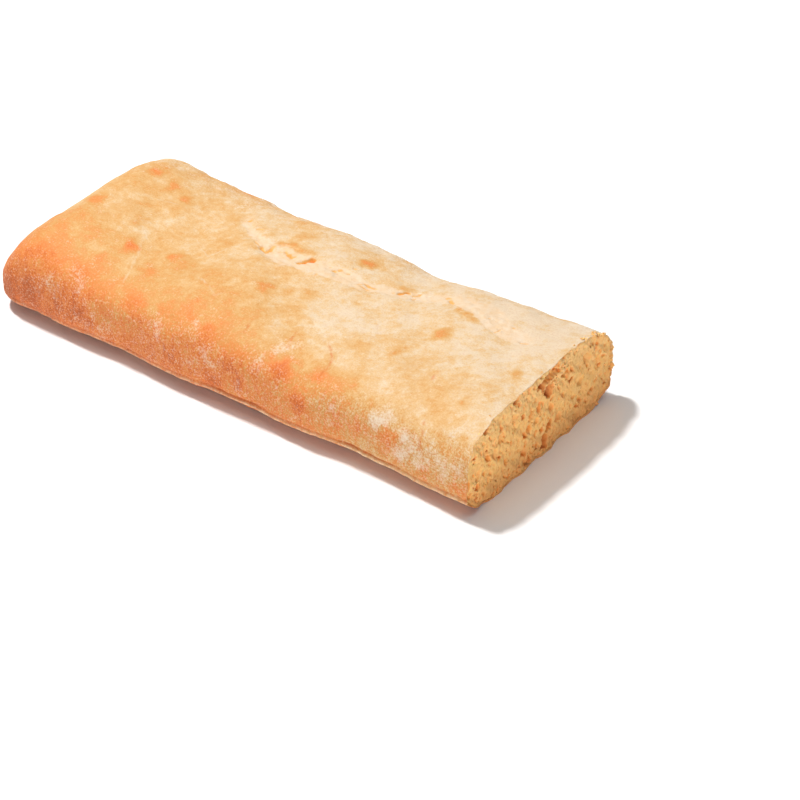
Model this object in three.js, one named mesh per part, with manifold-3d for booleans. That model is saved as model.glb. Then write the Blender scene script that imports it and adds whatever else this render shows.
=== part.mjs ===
// A ciabatta loaf, cut across: a flat domed pillow with one blunt baked end, a long rip in the
// crust of its top, a pinched seam low down on its sides, and at the other end the open crumb.
//
// Millimetres, +Z up. X runs along the loaf with the cut at +X, the front side faces -Y, and the
// loaf stands on Z = 0. While it is shaped, a place along the loaf is its distance from the blunt end.

import * as THREE from "three";
import Module from "manifold-3d";

// Driving dimensions.
const LENGTH = 250; // blunt end to cut
const WIDTH = 103; // front side to back side
const HEIGHT = 38.5; // floor to the middle of the top

// The section: a rounded oblong that is widest low down and stands on a flat base.
const WIDEST_AT = 0.4 * HEIGHT; // height of the widest line
const FRONT_SHOULDER = 3.6; // 2 is an ellipse, more is squarer
const BACK_SHOULDER = 3.2;
const LOWER_EDGE = 3.4;
const BASE_FLATTENED = 1.6; // how much of the underside's curve the oven floor took away

// The blunt end: how the top falls, how the underside lifts and how the two corners draw in.
const END_HEIGHT = 0.26 * HEIGHT; // height of the end's edge
const TOP_FALL = { run: 28, roundness: 1.7 };
const UNDERSIDE_LIFT = { run: 18 };
const FRONT_CORNER = { run: 16, inset: 14 };
const BACK_CORNER = { run: 17, inset: 18 };

// Swellings and hollows along the loaf, each a smooth rise `by` at a place, `reach` long.
const FRONT_SWELLS = [
  { at: 20, reach: 30, by: 1 },
  { at: 110, reach: 40, by: 0.5 },
  { at: 205, reach: 45, by: -2 },
];
const BACK_SWELLS = [
  { at: 6, reach: 24, by: 3 },
  { at: 62, reach: 16, by: 2.5 },
  { at: 108, reach: 20, by: -1 },
  { at: 170, reach: 32, by: -2 },
];
const TOP_SWELLS = [
  { at: 20, reach: 26, by: 4 },
  { at: 72, reach: 22, by: -2.5 },
  { at: 120, reach: 22, by: 1 },
  { at: 168, reach: 30, by: -2.5 },
  { at: 250, reach: 22, by: 1.5 },
];

// Soft unevenness of the dough: waves of this height over lengths of these sizes.
const LUMP_HEIGHT = 0.55;
const LUMP_LENGTHS = [61, 37, 23];

// The rip: where its middle runs across the loaf, and how deep and wide it opens.
const RIP_START = 76;
const RIP_END = 238;
const RIP_FADE = 9;
const RIP_MIDDLE = 16;
const RIP_BENDS = [
  { at: 72, reach: 18, by: 11 },
  { at: 115, reach: 26, by: -9 },
  { at: 155, reach: 12, by: -2.5 },
  { at: 188, reach: 14, by: 5.5 },
  { at: 230, reach: 20, by: -1.5 },
];
const RIP_DEPTH = 1.5;
const RIP_DEEPER = [
  { at: 106, reach: 18, by: 1.5 },
  { at: 143, reach: 9, by: 0.8 },
];
const RIP_HALF_WIDTH = 3.4;
const RIP_WIDER = [
  { at: 112, reach: 16, by: 1 },
  { at: 208, reach: 20, by: 1.6 },
];
const RIP_LIP = 0.5; // how far the torn crust curls up beside it

// Bubbles that the rip laid open: place along and across, length along the loaf, width, depth.
const RIP_HOLES = [
  { at: 85, across: 2, long: 5, wide: 3, deep: 2.4 },
  { at: 94, across: 4.5, long: 6, wide: 2.6, deep: 2 },
  { at: 101, across: -2.5, long: 6.5, wide: 5.5, deep: 3.4 },
  { at: 117, across: 1, long: 5, wide: 3.6, deep: 2.8 },
  { at: 125, across: 0, long: 8.5, wide: 4.6, deep: 4.2 },
  { at: 134, across: -7, long: 5, wide: 3, deep: 2 },
  { at: 142, across: 1, long: 8, wide: 3.4, deep: 2.6 },
  { at: 154, across: 1, long: 6.5, wide: 3.6, deep: 3 },
  { at: 170, across: 1, long: 9, wide: 2.6, deep: 2.4 },
  { at: 189, across: 2.5, long: 6, wide: 2.4, deep: 2 },
  { at: 217, across: -0.6, long: 6, wide: 2.2, deep: 1.8 },
  { at: 231, across: -1, long: 5, wide: 2, deep: 1.6 },
];

// The seam pinched along the foot of the sides.
const SEAM_HEIGHT = 4.6;
const SEAM_DEPTH = 0.9;
const SEAM_REACH = 1.3;

// The cut: its face is uneven, and it opens the crumb's bubbles.
const CUT_ROUGHNESS = 0.7;
const CUT_WAVES = [17, 9.5, 6.1];
const CUT_GRID = { step: 4.5, below: 6, above: 56, side: 64, behind: 14 };
// Large bubbles in it, by place across the loaf and height: half width, half height, half depth.
const CUT_BUBBLES = [
  { y: -43, z: 17, wide: 1.6, high: 2.6, deep: 2.4 },
  { y: -38, z: 23.5, wide: 1.5, high: 2.8, deep: 2.2 },
  { y: -31, z: 20, wide: 1.4, high: 2.4, deep: 1.8 },
  { y: -28, z: 26, wide: 1.8, high: 3, deep: 2.4 },
  { y: -19, z: 29, wide: 1.6, high: 2.2, deep: 1.8 },
  { y: 4, z: 32.5, wide: 7.5, high: 2.2, deep: 4.4 },
  { y: 17, z: 30, wide: 3.2, high: 2, deep: 2.2 },
  { y: 27, z: 19, wide: 2.4, high: 1.8, deep: 2 },
  { y: 33, z: 27, wide: 2.2, high: 2.6, deep: 2.2 },
  { y: 12, z: 12, wide: 3, high: 1.7, deep: 2.2 },
  { y: -12, z: 9, wide: 2.6, high: 1.6, deep: 2 },
];
const SMALL_BUBBLES = { tries: 60, least: 0.9, most: 2.2, apart: 0.9, margin: 0.86, seed: 11 };

// How finely the surface is divided.
const STATIONS = 56;
const TOP_STEPS = 42;
const UNDER_STEPS = 22;
const CUT_ALLOWANCE = 6; // dough beyond the cut, which the knife takes off
const SECTION_SAMPLES = 240; // fine steps from which a ring's points are chosen

const CRUST_COLOUR = 0xeeb87a;

const clamp = (value, low, high) => Math.min(high, Math.max(low, value));
const swell = (place, swells) =>
  swells.reduce((sum, { at, reach, by }) => sum + by * Math.exp(-(((place - at) / reach) ** 2)), 0);
const smoothStep = (t) => {
  const u = clamp(t, 0, 1);
  return u * u * (3 - 2 * u);
};

// How far an elliptical corner draws the side in, near the blunt end.
function cornerInset(place, { run, inset }) {
  const inward = 1 - clamp(place / run, 0, 1);
  return inset * (1 - Math.sqrt(1 - inward * inward));
}

// The measures of the loaf's section at one place along it.
function sectionAt(place) {
  const front = -WIDTH / 2 - swell(place, FRONT_SWELLS) + cornerInset(place, FRONT_CORNER);
  const back = WIDTH / 2 + swell(place, BACK_SWELLS) - cornerInset(place, BACK_CORNER);
  const outward = 1 - clamp(place / TOP_FALL.run, 0, 1);
  const rise = (1 - outward ** TOP_FALL.roundness) ** (1 / TOP_FALL.roundness);
  const top = END_HEIGHT + (HEIGHT + swell(place, TOP_SWELLS) - END_HEIGHT) * rise;
  const underOutward = 1 - clamp(place / UNDERSIDE_LIFT.run, 0, 1);
  const base = END_HEIGHT * (1 - Math.sqrt(1 - underOutward ** 2));
  const widest = Math.min(base + WIDEST_AT * rise, top - 0.5);
  return { place, half: (back - front) / 2, middle: (back + front) / 2, top, widest, base };
}

// A point of the section. Angle 0 is its back, a quarter turn its top, a half turn its front.
function sectionPoint({ half, middle, top, widest, base }, angle) {
  const across = Math.cos(angle);
  const upward = Math.sin(angle);
  const shoulder = across >= 0 ? BACK_SHOULDER : FRONT_SHOULDER;
  const squareness = upward >= 0 ? shoulder : LOWER_EDGE;
  const bent = (value) => Math.sign(value) * Math.abs(value) ** (2 / squareness);
  const y = middle + half * bent(across);
  if (upward >= 0) {
    return { y, z: widest + (top - widest) * bent(upward) };
  }
  const depth = widest - base;
  const flattened = Math.min(BASE_FLATTENED, 0.3 * depth);
  const lift = depth * (1 + bent(upward));
  return { y, z: base + (Math.max(0, lift - flattened) * depth) / (depth - flattened) };
}

const ripMiddle = (place) => RIP_MIDDLE + swell(place, RIP_BENDS);
const ripOpen = (place) =>
  smoothStep((place - RIP_START) / RIP_FADE) * smoothStep((RIP_END - place) / RIP_FADE);

// The surface's relief, outward, at a point of the section: lumps, the rip and the seam.
function relief(place, { y, z }, section) {
  const overFloor = smoothStep((z - section.base) / 8);
  const waves = LUMP_LENGTHS.reduce((sum, length, i) => {
    const turn = (2 * Math.PI) / length;
    const along = Math.sin(turn * place + 1.3 * i);
    const round = Math.cos(turn * (0.8 * y + 1.1 * z) + 0.9 * i);
    return sum + (along * round) / (i + 1);
  }, 0);
  const onTop = z > section.widest ? 1 : 0;
  const fromRip = (y - ripMiddle(place)) / (RIP_HALF_WIDTH + swell(place, RIP_WIDER));
  const depth = RIP_DEPTH + swell(place, RIP_DEEPER);
  const lip = RIP_LIP * Math.exp(-2 * (Math.abs(fromRip) - 1.9) ** 2);
  const groove = lip - depth * Math.exp(-(fromRip ** 2));
  const fromSeam = (z - section.base - SEAM_HEIGHT) / SEAM_REACH;
  const atSide = smoothStep((Math.abs(y - section.middle) - 0.6 * section.half) / 12);
  const seam = -SEAM_DEPTH * atSide * Math.exp(-(fromSeam ** 2));
  return LUMP_HEIGHT * waves * overFloor + onTop * ripOpen(place) * groove + seam;
}

// Half a ring from one side to the other, `steps` long. Its points stand closer together round
// the rip and at the seam.
function halfRing(section, fromAngle, toAngle, steps) {
  const samples = [];
  let walked = 0;
  for (let i = 0; i <= SECTION_SAMPLES; i += 1) {
    const point = sectionPoint(section, fromAngle + ((toAngle - fromAngle) * i) / SECTION_SAMPLES);
    if (i > 0) {
      const last = samples[i - 1];
      const nearRip = toAngle < Math.PI && point.z > section.widest ? ripOpen(section.place) : 0;
      const ripPull = 1.6 * nearRip * Math.exp(-(((point.y - ripMiddle(section.place)) / 8) ** 2));
      const seamPull = 2.2 * Math.exp(-(((point.z - section.base - SEAM_HEIGHT) / 3) ** 2));
      walked += Math.hypot(point.y - last.y, point.z - last.z) * (1 + ripPull + seamPull);
    }
    samples.push({ ...point, walked });
  }
  const ring = [];
  let k = 0;
  for (let i = 0; i < steps; i += 1) {
    const goal = (walked * i) / steps;
    while (samples[k + 1].walked < goal) {
      k += 1;
    }
    const span = samples[k + 1].walked - samples[k].walked;
    const t = span > 0 ? (goal - samples[k].walked) / span : 0;
    const y = THREE.MathUtils.lerp(samples[k].y, samples[k + 1].y, t);
    const z = THREE.MathUtils.lerp(samples[k].z, samples[k + 1].z, t);
    ring.push({ y, z });
  }
  return ring;
}

// A whole ring: over the top from the front to the back, then under the loaf to the front again.
function ringAt(place) {
  const section = sectionAt(place);
  const over = halfRing(section, Math.PI, 0, TOP_STEPS);
  const under = halfRing(section, 2 * Math.PI, Math.PI, UNDER_STEPS);
  const ring = over.concat(under);
  return ring.map((point, i) => {
    const before = ring[(i + ring.length - 1) % ring.length];
    const after = ring[(i + 1) % ring.length];
    const tangent = new THREE.Vector2(after.y - before.y, after.z - before.z).normalize();
    const out = relief(place, point, section) * smoothStep(place / 12);
    const z = Math.max(section.base, point.z + out * tangent.x);
    return new THREE.Vector3(place - LENGTH / 2, point.y - out * tangent.y, z);
  });
}

// Places of the rings, close together where the blunt end curves.
function ringPlaces() {
  const last = LENGTH + CUT_ALLOWANCE;
  const places = [];
  for (let i = 0; i < STATIONS; i += 1) {
    const t = i / (STATIONS - 1);
    places.push(0.12 + (last - 0.12) * (0.74 * t + 0.26 * t ** 3) * smoothStep(0.3 + 9 * t));
  }
  return places;
}

// Closes a ring by a ladder of triangles between its upper and its lower half.
function capTriangles(ring, first, facesBack) {
  const count = ring.length;
  const triangles = [];
  let upper = 0;
  let lower = 0;
  const lowerIndex = (i) => (count - i) % count;
  while (upper < TOP_STEPS || lower < UNDER_STEPS) {
    const upperNext = upper < TOP_STEPS ? ring[upper + 1].y : Infinity;
    const lowerNext = lower < UNDER_STEPS ? ring[lowerIndex(lower + 1)].y : Infinity;
    const a = first + upper;
    const b = first + lowerIndex(lower);
    let c;
    if (upperNext <= lowerNext) {
      upper += 1;
      c = first + upper;
    } else {
      lower += 1;
      c = first + lowerIndex(lower);
    }
    if (a !== b && b !== c && a !== c) {
      triangles.push(...(facesBack ? [a, c, b] : [a, b, c]));
    }
  }
  return triangles;
}

// The whole loaf before it is cut, as positions and triangles.
function doughShape() {
  const rings = ringPlaces().map(ringAt);
  const perRing = TOP_STEPS + UNDER_STEPS;
  const positions = rings.flat().flatMap((point) => point.toArray());
  const triangles = capTriangles(rings[0], 0, true);
  for (let i = 0; i < rings.length - 1; i += 1) {
    for (let j = 0; j < perRing; j += 1) {
      const a = i * perRing + j;
      const b = i * perRing + ((j + 1) % perRing);
      triangles.push(a, a + perRing, b, b, a + perRing, b + perRing);
    }
  }
  const last = (rings.length - 1) * perRing;
  triangles.push(...capTriangles(rings[rings.length - 1], last, false));
  return { positions, triangles };
}

// The height of the uneven cut face over its flat plane.
function cutRelief(y, z) {
  return CUT_WAVES.reduce((sum, length, i) => {
    const turn = (2 * Math.PI) / length;
    return sum + (CUT_ROUGHNESS * Math.sin(turn * y + 2 * i) * Math.cos(turn * z * 1.2 + i)) / (i + 1);
  }, 0);
}

// What the knife takes off: everything beyond an uneven face across the loaf.
function knifeShape() {
  const { step, below, above, side, behind } = CUT_GRID;
  const columns = Math.round((2 * side) / step);
  const rows = Math.round((above + below) / step);
  const positions = [];
  for (const isFace of [true, false]) {
    for (let i = 0; i <= columns; i += 1) {
      for (let j = 0; j <= rows; j += 1) {
        const y = -side + (2 * side * i) / columns;
        const z = -below + ((above + below) * j) / rows;
        positions.push(LENGTH / 2 + (isFace ? cutRelief(y, z) : behind), y, z);
      }
    }
  }
  const at = (i, j, far) => far * (columns + 1) * (rows + 1) + i * (rows + 1) + j;
  const triangles = [];
  const quad = (a, b, c, d) => triangles.push(a, b, c, a, c, d);
  for (let i = 0; i < columns; i += 1) {
    for (let j = 0; j < rows; j += 1) {
      quad(at(i, j, 0), at(i, j + 1, 0), at(i + 1, j + 1, 0), at(i + 1, j, 0));
      quad(at(i, j, 1), at(i + 1, j, 1), at(i + 1, j + 1, 1), at(i, j + 1, 1));
    }
  }
  for (let i = 0; i < columns; i += 1) {
    quad(at(i, 0, 0), at(i + 1, 0, 0), at(i + 1, 0, 1), at(i, 0, 1));
    quad(at(i, rows, 0), at(i, rows, 1), at(i + 1, rows, 1), at(i + 1, rows, 0));
  }
  for (let j = 0; j < rows; j += 1) {
    quad(at(0, j, 0), at(0, j, 1), at(0, j + 1, 1), at(0, j + 1, 0));
    quad(at(columns, j, 0), at(columns, j + 1, 0), at(columns, j + 1, 1), at(columns, j, 1));
  }
  return { positions, triangles };
}

// Random numbers from 0 to 1 that are the same each time, from a seed.
function seededDraw(seed) {
  let state = seed;
  return () => {
    state = (state + 0x6d2b79f5) | 0;
    let t = Math.imul(state ^ (state >>> 15), 1 | state);
    t = (t + Math.imul(t ^ (t >>> 7), 61 | t)) ^ t;
    return ((t ^ (t >>> 14)) >>> 0) / 4294967296;
  };
}

// How far out a point of the section lies: 0 at its middle, 1 on the crust.
function reachInSection(section, y, z) {
  const squareness = z > section.widest ? FRONT_SHOULDER : LOWER_EDGE;
  const height = z > section.widest ? section.top - section.widest : section.widest - section.base;
  const across = Math.abs((y - section.middle) / section.half) ** squareness;
  return (across + Math.abs((z - section.widest) / height) ** squareness) ** (1 / squareness);
}

// Small bubbles scattered over the cut face, clear of each other and of the crust.
function smallBubbles() {
  const { tries, least, most, apart, margin, seed } = SMALL_BUBBLES;
  const draw = seededDraw(seed);
  const section = sectionAt(LENGTH);
  const kept = CUT_BUBBLES.map(({ y, z, wide, high }) => ({ y, z, size: Math.max(wide, high) }));
  const found = [];
  for (let i = 0; i < tries; i += 1) {
    const y = section.middle + section.half * (2 * draw() - 1);
    const z = section.top * draw();
    const size = least + (most - least) * draw() ** 2.2;
    const stretch = 1 + 0.6 * draw();
    const lean = draw();
    const clear = kept.every((other) => Math.hypot(y - other.y, z - other.z) > size + other.size + apart);
    if (clear && reachInSection(section, y, z) < margin) {
      const wide = lean > 0.5 ? size * stretch : size;
      const high = lean > 0.5 ? size : size * stretch;
      kept.push({ y, z, size: size * stretch });
      found.push({ y, z, wide, high, deep: size });
    }
  }
  return found;
}

// A bubble: a sphere stretched to its three half sizes, at its place.
function bubbleShape(centre, halfSizes, around, down) {
  const sphere = new THREE.SphereGeometry(1, around, down);
  sphere.rotateY(0.4);
  sphere.scale(halfSizes.x, halfSizes.y, halfSizes.z);
  sphere.translate(centre.x, centre.y, centre.z);
  return weldedShape(sphere);
}

// The positions and triangles of a geometry, with the points that lie together made one.
function weldedShape(geometry) {
  const place = geometry.attributes.position;
  const found = new Map();
  const positions = [];
  const welded = [];
  for (let i = 0; i < place.count; i += 1) {
    const point = [place.getX(i), place.getY(i), place.getZ(i)];
    const key = point.map((value) => value.toFixed(4)).join(",");
    if (!found.has(key)) {
      found.set(key, positions.length / 3);
      positions.push(...point);
    }
    welded.push(found.get(key));
  }
  const corners = Array.from(geometry.index.array, (i) => welded[i]);
  const triangles = [];
  for (let i = 0; i < corners.length; i += 3) {
    const [a, b, c] = corners.slice(i, i + 3);
    if (a !== b && b !== c && c !== a) {
      triangles.push(a, b, c);
    }
  }
  return { positions, triangles };
}

const wasm = await Module();
wasm.setup();

function toSolid({ positions, triangles }) {
  const vertProperties = new Float32Array(positions);
  const triVerts = new Uint32Array(triangles);
  return new wasm.Manifold(new wasm.Mesh({ numProp: 3, vertProperties, triVerts }));
}

function toGeometry(solid) {
  const { vertProperties, triVerts, numProp } = solid.getMesh();
  const geometry = new THREE.BufferGeometry();
  const positions = [];
  for (let i = 0; i < vertProperties.length; i += numProp) {
    positions.push(vertProperties[i], vertProperties[i + 1], vertProperties[i + 2]);
  }
  geometry.setAttribute("position", new THREE.Float32BufferAttribute(positions, 3));
  geometry.setIndex(Array.from(triVerts));
  geometry.computeVertexNormals();
  return geometry;
}

// The bubbles that the rip laid open, sunk a little below the rip's floor.
function ripHoles() {
  return RIP_HOLES.map(({ at, across, long, wide, deep }) => {
    const section = sectionAt(at);
    const y = ripMiddle(at) + across;
    const reachAcross = Math.abs((y - section.middle) / section.half) ** BACK_SHOULDER;
    const crown = section.widest + (section.top - section.widest) * (1 - reachAcross) ** (1 / BACK_SHOULDER);
    const centre = new THREE.Vector3(at - LENGTH / 2, y, crown - RIP_DEPTH);
    return toSolid(bubbleShape(centre, new THREE.Vector3(long / 2, wide / 2, deep), 8, 5));
  });
}

// The bubbles that the cut laid open.
function cutBubbles() {
  const onCut = ({ y, z }) => new THREE.Vector3(LENGTH / 2 + cutRelief(y, z), y, z);
  const sizes = ({ wide, high, deep }) => new THREE.Vector3(deep, wide, high);
  const large = CUT_BUBBLES.map((bubble) => toSolid(bubbleShape(onCut(bubble), sizes(bubble), 8, 6)));
  const small = smallBubbles().map((bubble) => toSolid(bubbleShape(onCut(bubble), sizes(bubble), 6, 4)));
  return large.concat(small);
}

// The loaf: the dough's shape less what the knife, the rip and the bubbles take.
function loafGeometry() {
  const dough = toSolid(doughShape());
  const taken = wasm.Manifold.union([toSolid(knifeShape()), ...cutBubbles(), ...ripHoles()]);
  const pieces = dough.subtract(taken).decompose();
  const loaf = pieces.reduce((largest, piece) => (piece.volume() > largest.volume() ? piece : largest));
  return toGeometry(loaf);
}

function makeLoaf() {
  const geometry = loafGeometry();
  geometry.computeBoundingBox();
  const middle = geometry.boundingBox.getCenter(new THREE.Vector3());
  const crust = new THREE.MeshStandardMaterial({ color: CRUST_COLOUR, roughness: 0.85, metalness: 0 });
  const mesh = new THREE.Mesh(geometry, crust);
  mesh.name = "loaf";
  mesh.position.set(-middle.x, -middle.y, -geometry.boundingBox.min.z);
  return mesh;
}

const ciabatta = new THREE.Group();
ciabatta.add(makeLoaf());

export default ciabatta;
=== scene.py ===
"""A ciabatta loaf, cut across: a golden floured crust, a long rip in its top, and open crumb at the cut.

The crust is a shell shaped from the loaf's few measures. Geometry Nodes make what repeats: one tree
fills the crumb at the cut with bubbles of three sizes, another scatters loose flakes along the cut's edge.
Sizes are in millimetres. A place along the loaf is its distance from the blunt end.
"""

import itertools
import math
from collections import namedtuple

import bpy
import numpy as np
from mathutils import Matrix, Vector


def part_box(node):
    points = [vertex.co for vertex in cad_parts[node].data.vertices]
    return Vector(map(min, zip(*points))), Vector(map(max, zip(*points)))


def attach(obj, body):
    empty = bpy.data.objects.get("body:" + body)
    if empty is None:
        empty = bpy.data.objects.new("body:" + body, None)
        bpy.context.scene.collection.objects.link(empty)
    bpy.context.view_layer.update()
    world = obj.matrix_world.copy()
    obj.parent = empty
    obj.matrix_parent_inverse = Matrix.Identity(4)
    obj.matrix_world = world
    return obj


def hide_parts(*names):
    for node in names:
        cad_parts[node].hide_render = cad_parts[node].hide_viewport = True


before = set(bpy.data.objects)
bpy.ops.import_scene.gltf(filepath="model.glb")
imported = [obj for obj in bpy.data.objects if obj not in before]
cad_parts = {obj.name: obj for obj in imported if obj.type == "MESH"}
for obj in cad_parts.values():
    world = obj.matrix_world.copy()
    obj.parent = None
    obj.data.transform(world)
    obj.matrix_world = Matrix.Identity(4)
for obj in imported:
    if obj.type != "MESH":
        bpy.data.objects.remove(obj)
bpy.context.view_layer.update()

MM = 0.001
LOW, HIGH = (np.array(corner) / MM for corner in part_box("loaf"))

# The loaf's measures, from the solid's box less what its swellings and uneven cut add to it.
LENGTH = HIGH[0] - LOW[0] - 0.75
WIDTH = HIGH[1] - LOW[1] - 4.0
HEIGHT = HIGH[2] - LOW[2] - 3.87

# The section: a rounded oblong, widest low down, on a flat base.
WIDEST_AT = 0.4 * HEIGHT
FRONT_SHOULDER = 3.6
BACK_SHOULDER = 3.2
LOWER_EDGE = 3.4
BASE_FLATTENED = 1.6

# The blunt end.
END_HEIGHT = 0.26 * HEIGHT
TOP_FALL_RUN = 28.0
TOP_FALL_ROUNDNESS = 1.7
UNDERSIDE_LIFT_RUN = 18.0
FRONT_CORNER = (16.0, 14.0)  # run along the loaf, inset
BACK_CORNER = (17.0, 18.0)

# Swellings along the loaf: where, how long a reach, how much.
FRONT_SWELLS = [(20, 30, 1), (110, 40, 0.5), (205, 45, -2)]
BACK_SWELLS = [(6, 24, 3), (62, 16, 2.5), (108, 20, -1), (170, 32, -2)]
TOP_SWELLS = [(20, 26, 4), (72, 22, -2.5), (120, 22, 1), (168, 30, -2.5), (250, 22, 1.5)]
LUMP_HEIGHT = 0.55
LUMP_LENGTHS = [61, 37, 23]

# The rip: the line it follows, and the trough it lies in.
RIP_START = 76.0
RIP_END = 238.0
RIP_FADE = 9.0
RIP_MIDDLE = 16.0
RIP_BENDS = [(72, 18, 11), (115, 26, -9), (155, 12, -2.5), (188, 14, 5.5), (230, 20, -1.5)]
TROUGH_DEPTH = 0.35
TROUGH_DEEPER = [(106, 14, 0.6), (143, 9, 0.3)]
TROUGH_HALF_WIDTH = 3.4
TROUGH_WIDER = [(112, 16, 1), (208, 20, 1.6)]
LIP_HEIGHT = 0.08
# The stretched pale skin in the rip: how far it reaches from the rip's line to the front and to the back.
SKIN_FRONT = 2.5
SKIN_FRONT_MORE = [(117, 14, 3), (131, 9, 3.5), (147, 10, 2.5), (203, 16, -4.2)]
SKIN_BACK = 4.0
SKIN_BACK_MORE = [(112, 16, 2.8), (131, 7, -2.5), (205, 18, 9), (235, 10, -1.5)]
# Pits where that skin tore open, as strokes: from along, across, to along, across, half width, depth.
PITS = [
    (83.9, 22.6, 84.5, 23.4, 0.85, 0.8),
    (83.0, 21.2, 83.1, 21.5, 0.51, 0.4),
    (91.3, 19.3, 95.2, 20.3, 0.59, 0.5),
    (95.2, 20.3, 96.9, 21.3, 0.51, 0.4),
    (98.7, 9.3, 102.8, 7.7, 0.85, 0.5),
    (102.8, 7.7, 107.0, 5.9, 1.27, 0.8),
    (107.0, 5.9, 107.3, 8.9, 1.53, 0.9),
    (107.3, 8.9, 106.8, 11.9, 1.1, 0.5),
    (108.8, 2.8, 109.0, 3.1, 0.51, 0.4),
    (109.6, 13.8, 112.4, 14.8, 0.59, 0.4),
    (112.9, 15.0, 117.6, 14.5, 0.51, 0.4),
    (114.0, 10.5, 116.5, 9.2, 0.68, 0.6),
    (116.5, 9.2, 118.4, 8.8, 1.23, 1.1),
    (118.4, 8.8, 119.4, 9.9, 0.77, 0.6),
    (120.6, 14.4, 124.0, 13.6, 0.42, 0.3),
    (124.2, 6.5, 125.6, 9.0, 0.85, 1.1),
    (125.6, 9.0, 127.5, 11.3, 1.8, 1.5),
    (132.0, 1.9, 132.8, 4.2, 0.85, 0.4),
    (134.9, 3.1, 134.9, 5.0, 0.85, 0.4),
    (135.7, 12.3, 136.3, 12.9, 0.51, 0.4),
    (138.4, 11.4, 138.9, 12.0, 0.77, 0.6),
    (140.0, 13.6, 140.7, 14.2, 0.77, 0.6),
    (143.6, 13.7, 144.4, 14.2, 0.68, 0.5),
    (144.3, 18.3, 144.9, 19.0, 0.68, 0.5),
    (151.0, 11.2, 152.6, 13.7, 0.51, 0.4),
    (152.6, 13.7, 155.4, 13.6, 0.77, 0.6),
    (153.2, 11.2, 156.4, 11.3, 0.59, 0.5),
    (155.4, 13.6, 158.8, 14.2, 0.59, 0.5),
    (158.6, 12.4, 159.0, 12.8, 0.51, 0.4),
    (165.6, 15.6, 166.2, 16.1, 0.68, 0.5),
    (168.0, 17.0, 170.4, 19.5, 0.95, 1.1),
    (173.4, 19.2, 175.3, 22.0, 0.68, 0.6),
    (174.5, 17.0, 175.0, 17.6, 0.68, 0.5),
    (186.0, 25.2, 187.2, 26.0, 0.85, 0.5),
    (188.0, 24.4, 190.2, 23.4, 0.94, 0.6),
    (209.6, 20.7, 210.0, 21.0, 0.59, 0.4),
    (217.2, 14.0, 217.9, 17.2, 0.42, 0.5),
    (221.2, 20.8, 221.6, 21.1, 0.59, 0.4),
    (229.4, 14.0, 232.2, 14.6, 0.59, 0.4),
]
PIT_DEEPEST = max(pit[-1] for pit in PITS)
PIT_SINK = 0.8  # the share of a pit's depth that shows, as its ragged rim fills the rest
# Where the crust's edge beside that skin browned, as strokes: the same, but how much browner.
BROWNED_EDGES = [
    (108.5, 14.2, 113.0, 15.6, 2.5, 0.15),
    (113.0, 15.6, 118.5, 15.2, 2.4, 0.18),
    (118.5, 15.2, 124.5, 15.0, 2.2, 0.12),
    (112.6, 10.2, 116.0, 8.0, 2.8, 0.12),
    (142.6, 9.2, 145.0, 10.4, 3.4, 0.10),
    (144.0, 25.5, 147.0, 25.0, 3.6, 0.14),
    (167.6, 20.8, 172.0, 22.4, 2.6, 0.12),
    (176.0, 23.6, 184.0, 25.4, 2.2, 0.08),
    (196.3, 19.6, 204.9, 16.9, 3.4, 0.17),
    (204.9, 16.9, 212.5, 13.6, 2.8, 0.14),
    (212.5, 13.6, 216.6, 12.9, 2.0, 0.08),
    (126.5, 2.0, 131.0, 0.4, 2.4, 0.06),
]

# The crust's fine relief, each as sizes and heights: a size is one number, or one for each axis.
WRINKLE_HEIGHT = 0.16
WRINKLES = [((2.1, 16, 13), 1.0), ((4.3, 24, 19), 0.7)]
UNEVENNESS = [(9, 0.17), (4.2, 0.12), (2.1, 0.07)]
UNEVEN_AT_BACK = 1.1  # how much more uneven the top is along its back edge
TORN_SKIN = [(4.0, 0.26), (1.9, 0.20)]
TORN_SKIN_SUNK = 0.12
BLISTER_RISE = 0.7  # for each unit that a spot is browner
SHARP_ANGLE = 58.0  # past this many degrees an edge, such as the cut's, is drawn sharp

# The seam pinched along the foot of the sides, and the thin lip that it leaves below.
SEAM_HEIGHT = 8.4
SEAM_DEPTH = 0.7
SEAM_REACH = 0.8
LIP_AT_SEAM = 6.9
LIP_REACH = 0.75
LIP_PROUD = 0.55

# The cut.
CUT_ROUGHNESS = 0.5
CUT_WAVES = [17, 9.5, 6.1]
CUT_TORN = 1.5  # how much rougher it is towards the back, where the crumb tore
CRUST_THICKNESS = 0.6
CRUMB_INSET_TOP = 0.25  # how far inside the crust's outer face the crumb starts
CRUMB_INSET_BASE = 0.5
CRUMB_SUNK = 0.15  # how far the crumb lies back from the crust's edge, and how much further beside it
CRUMB_SUNK_AT_EDGE = 0.1
CUP_DEPTH = 6.4  # how deep the crust is open behind the cut
# Large bubbles: across, height, half width, half height, depth.
CUT_BUBBLES = [
    (-43, 17, 1.5, 2.4, 2.4),
    (-38, 23.5, 1.4, 2.7, 2.4),
    (-31.5, 20, 1.3, 2.3, 1.8),
    (-28, 26, 1.9, 2.9, 2.8),
    (-19, 29, 1.6, 2.2, 2.0),
    (4, 35, 8.5, 1.8, 4.4),
    (17, 30.5, 3.2, 1.9, 2.6),
    (28, 20, 2.3, 1.9, 2.4),
    (33, 28, 2.2, 2.5, 2.6),
    (41, 23, 1.6, 2.6, 2.2),
    (12, 12, 3.0, 1.7, 2.4),
    (-12, 9, 2.6, 1.6, 2.0),
    (37, 11, 2.4, 1.5, 2.0),
    (-4, 20, 1.7, 1.5, 2.0),
]

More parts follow.
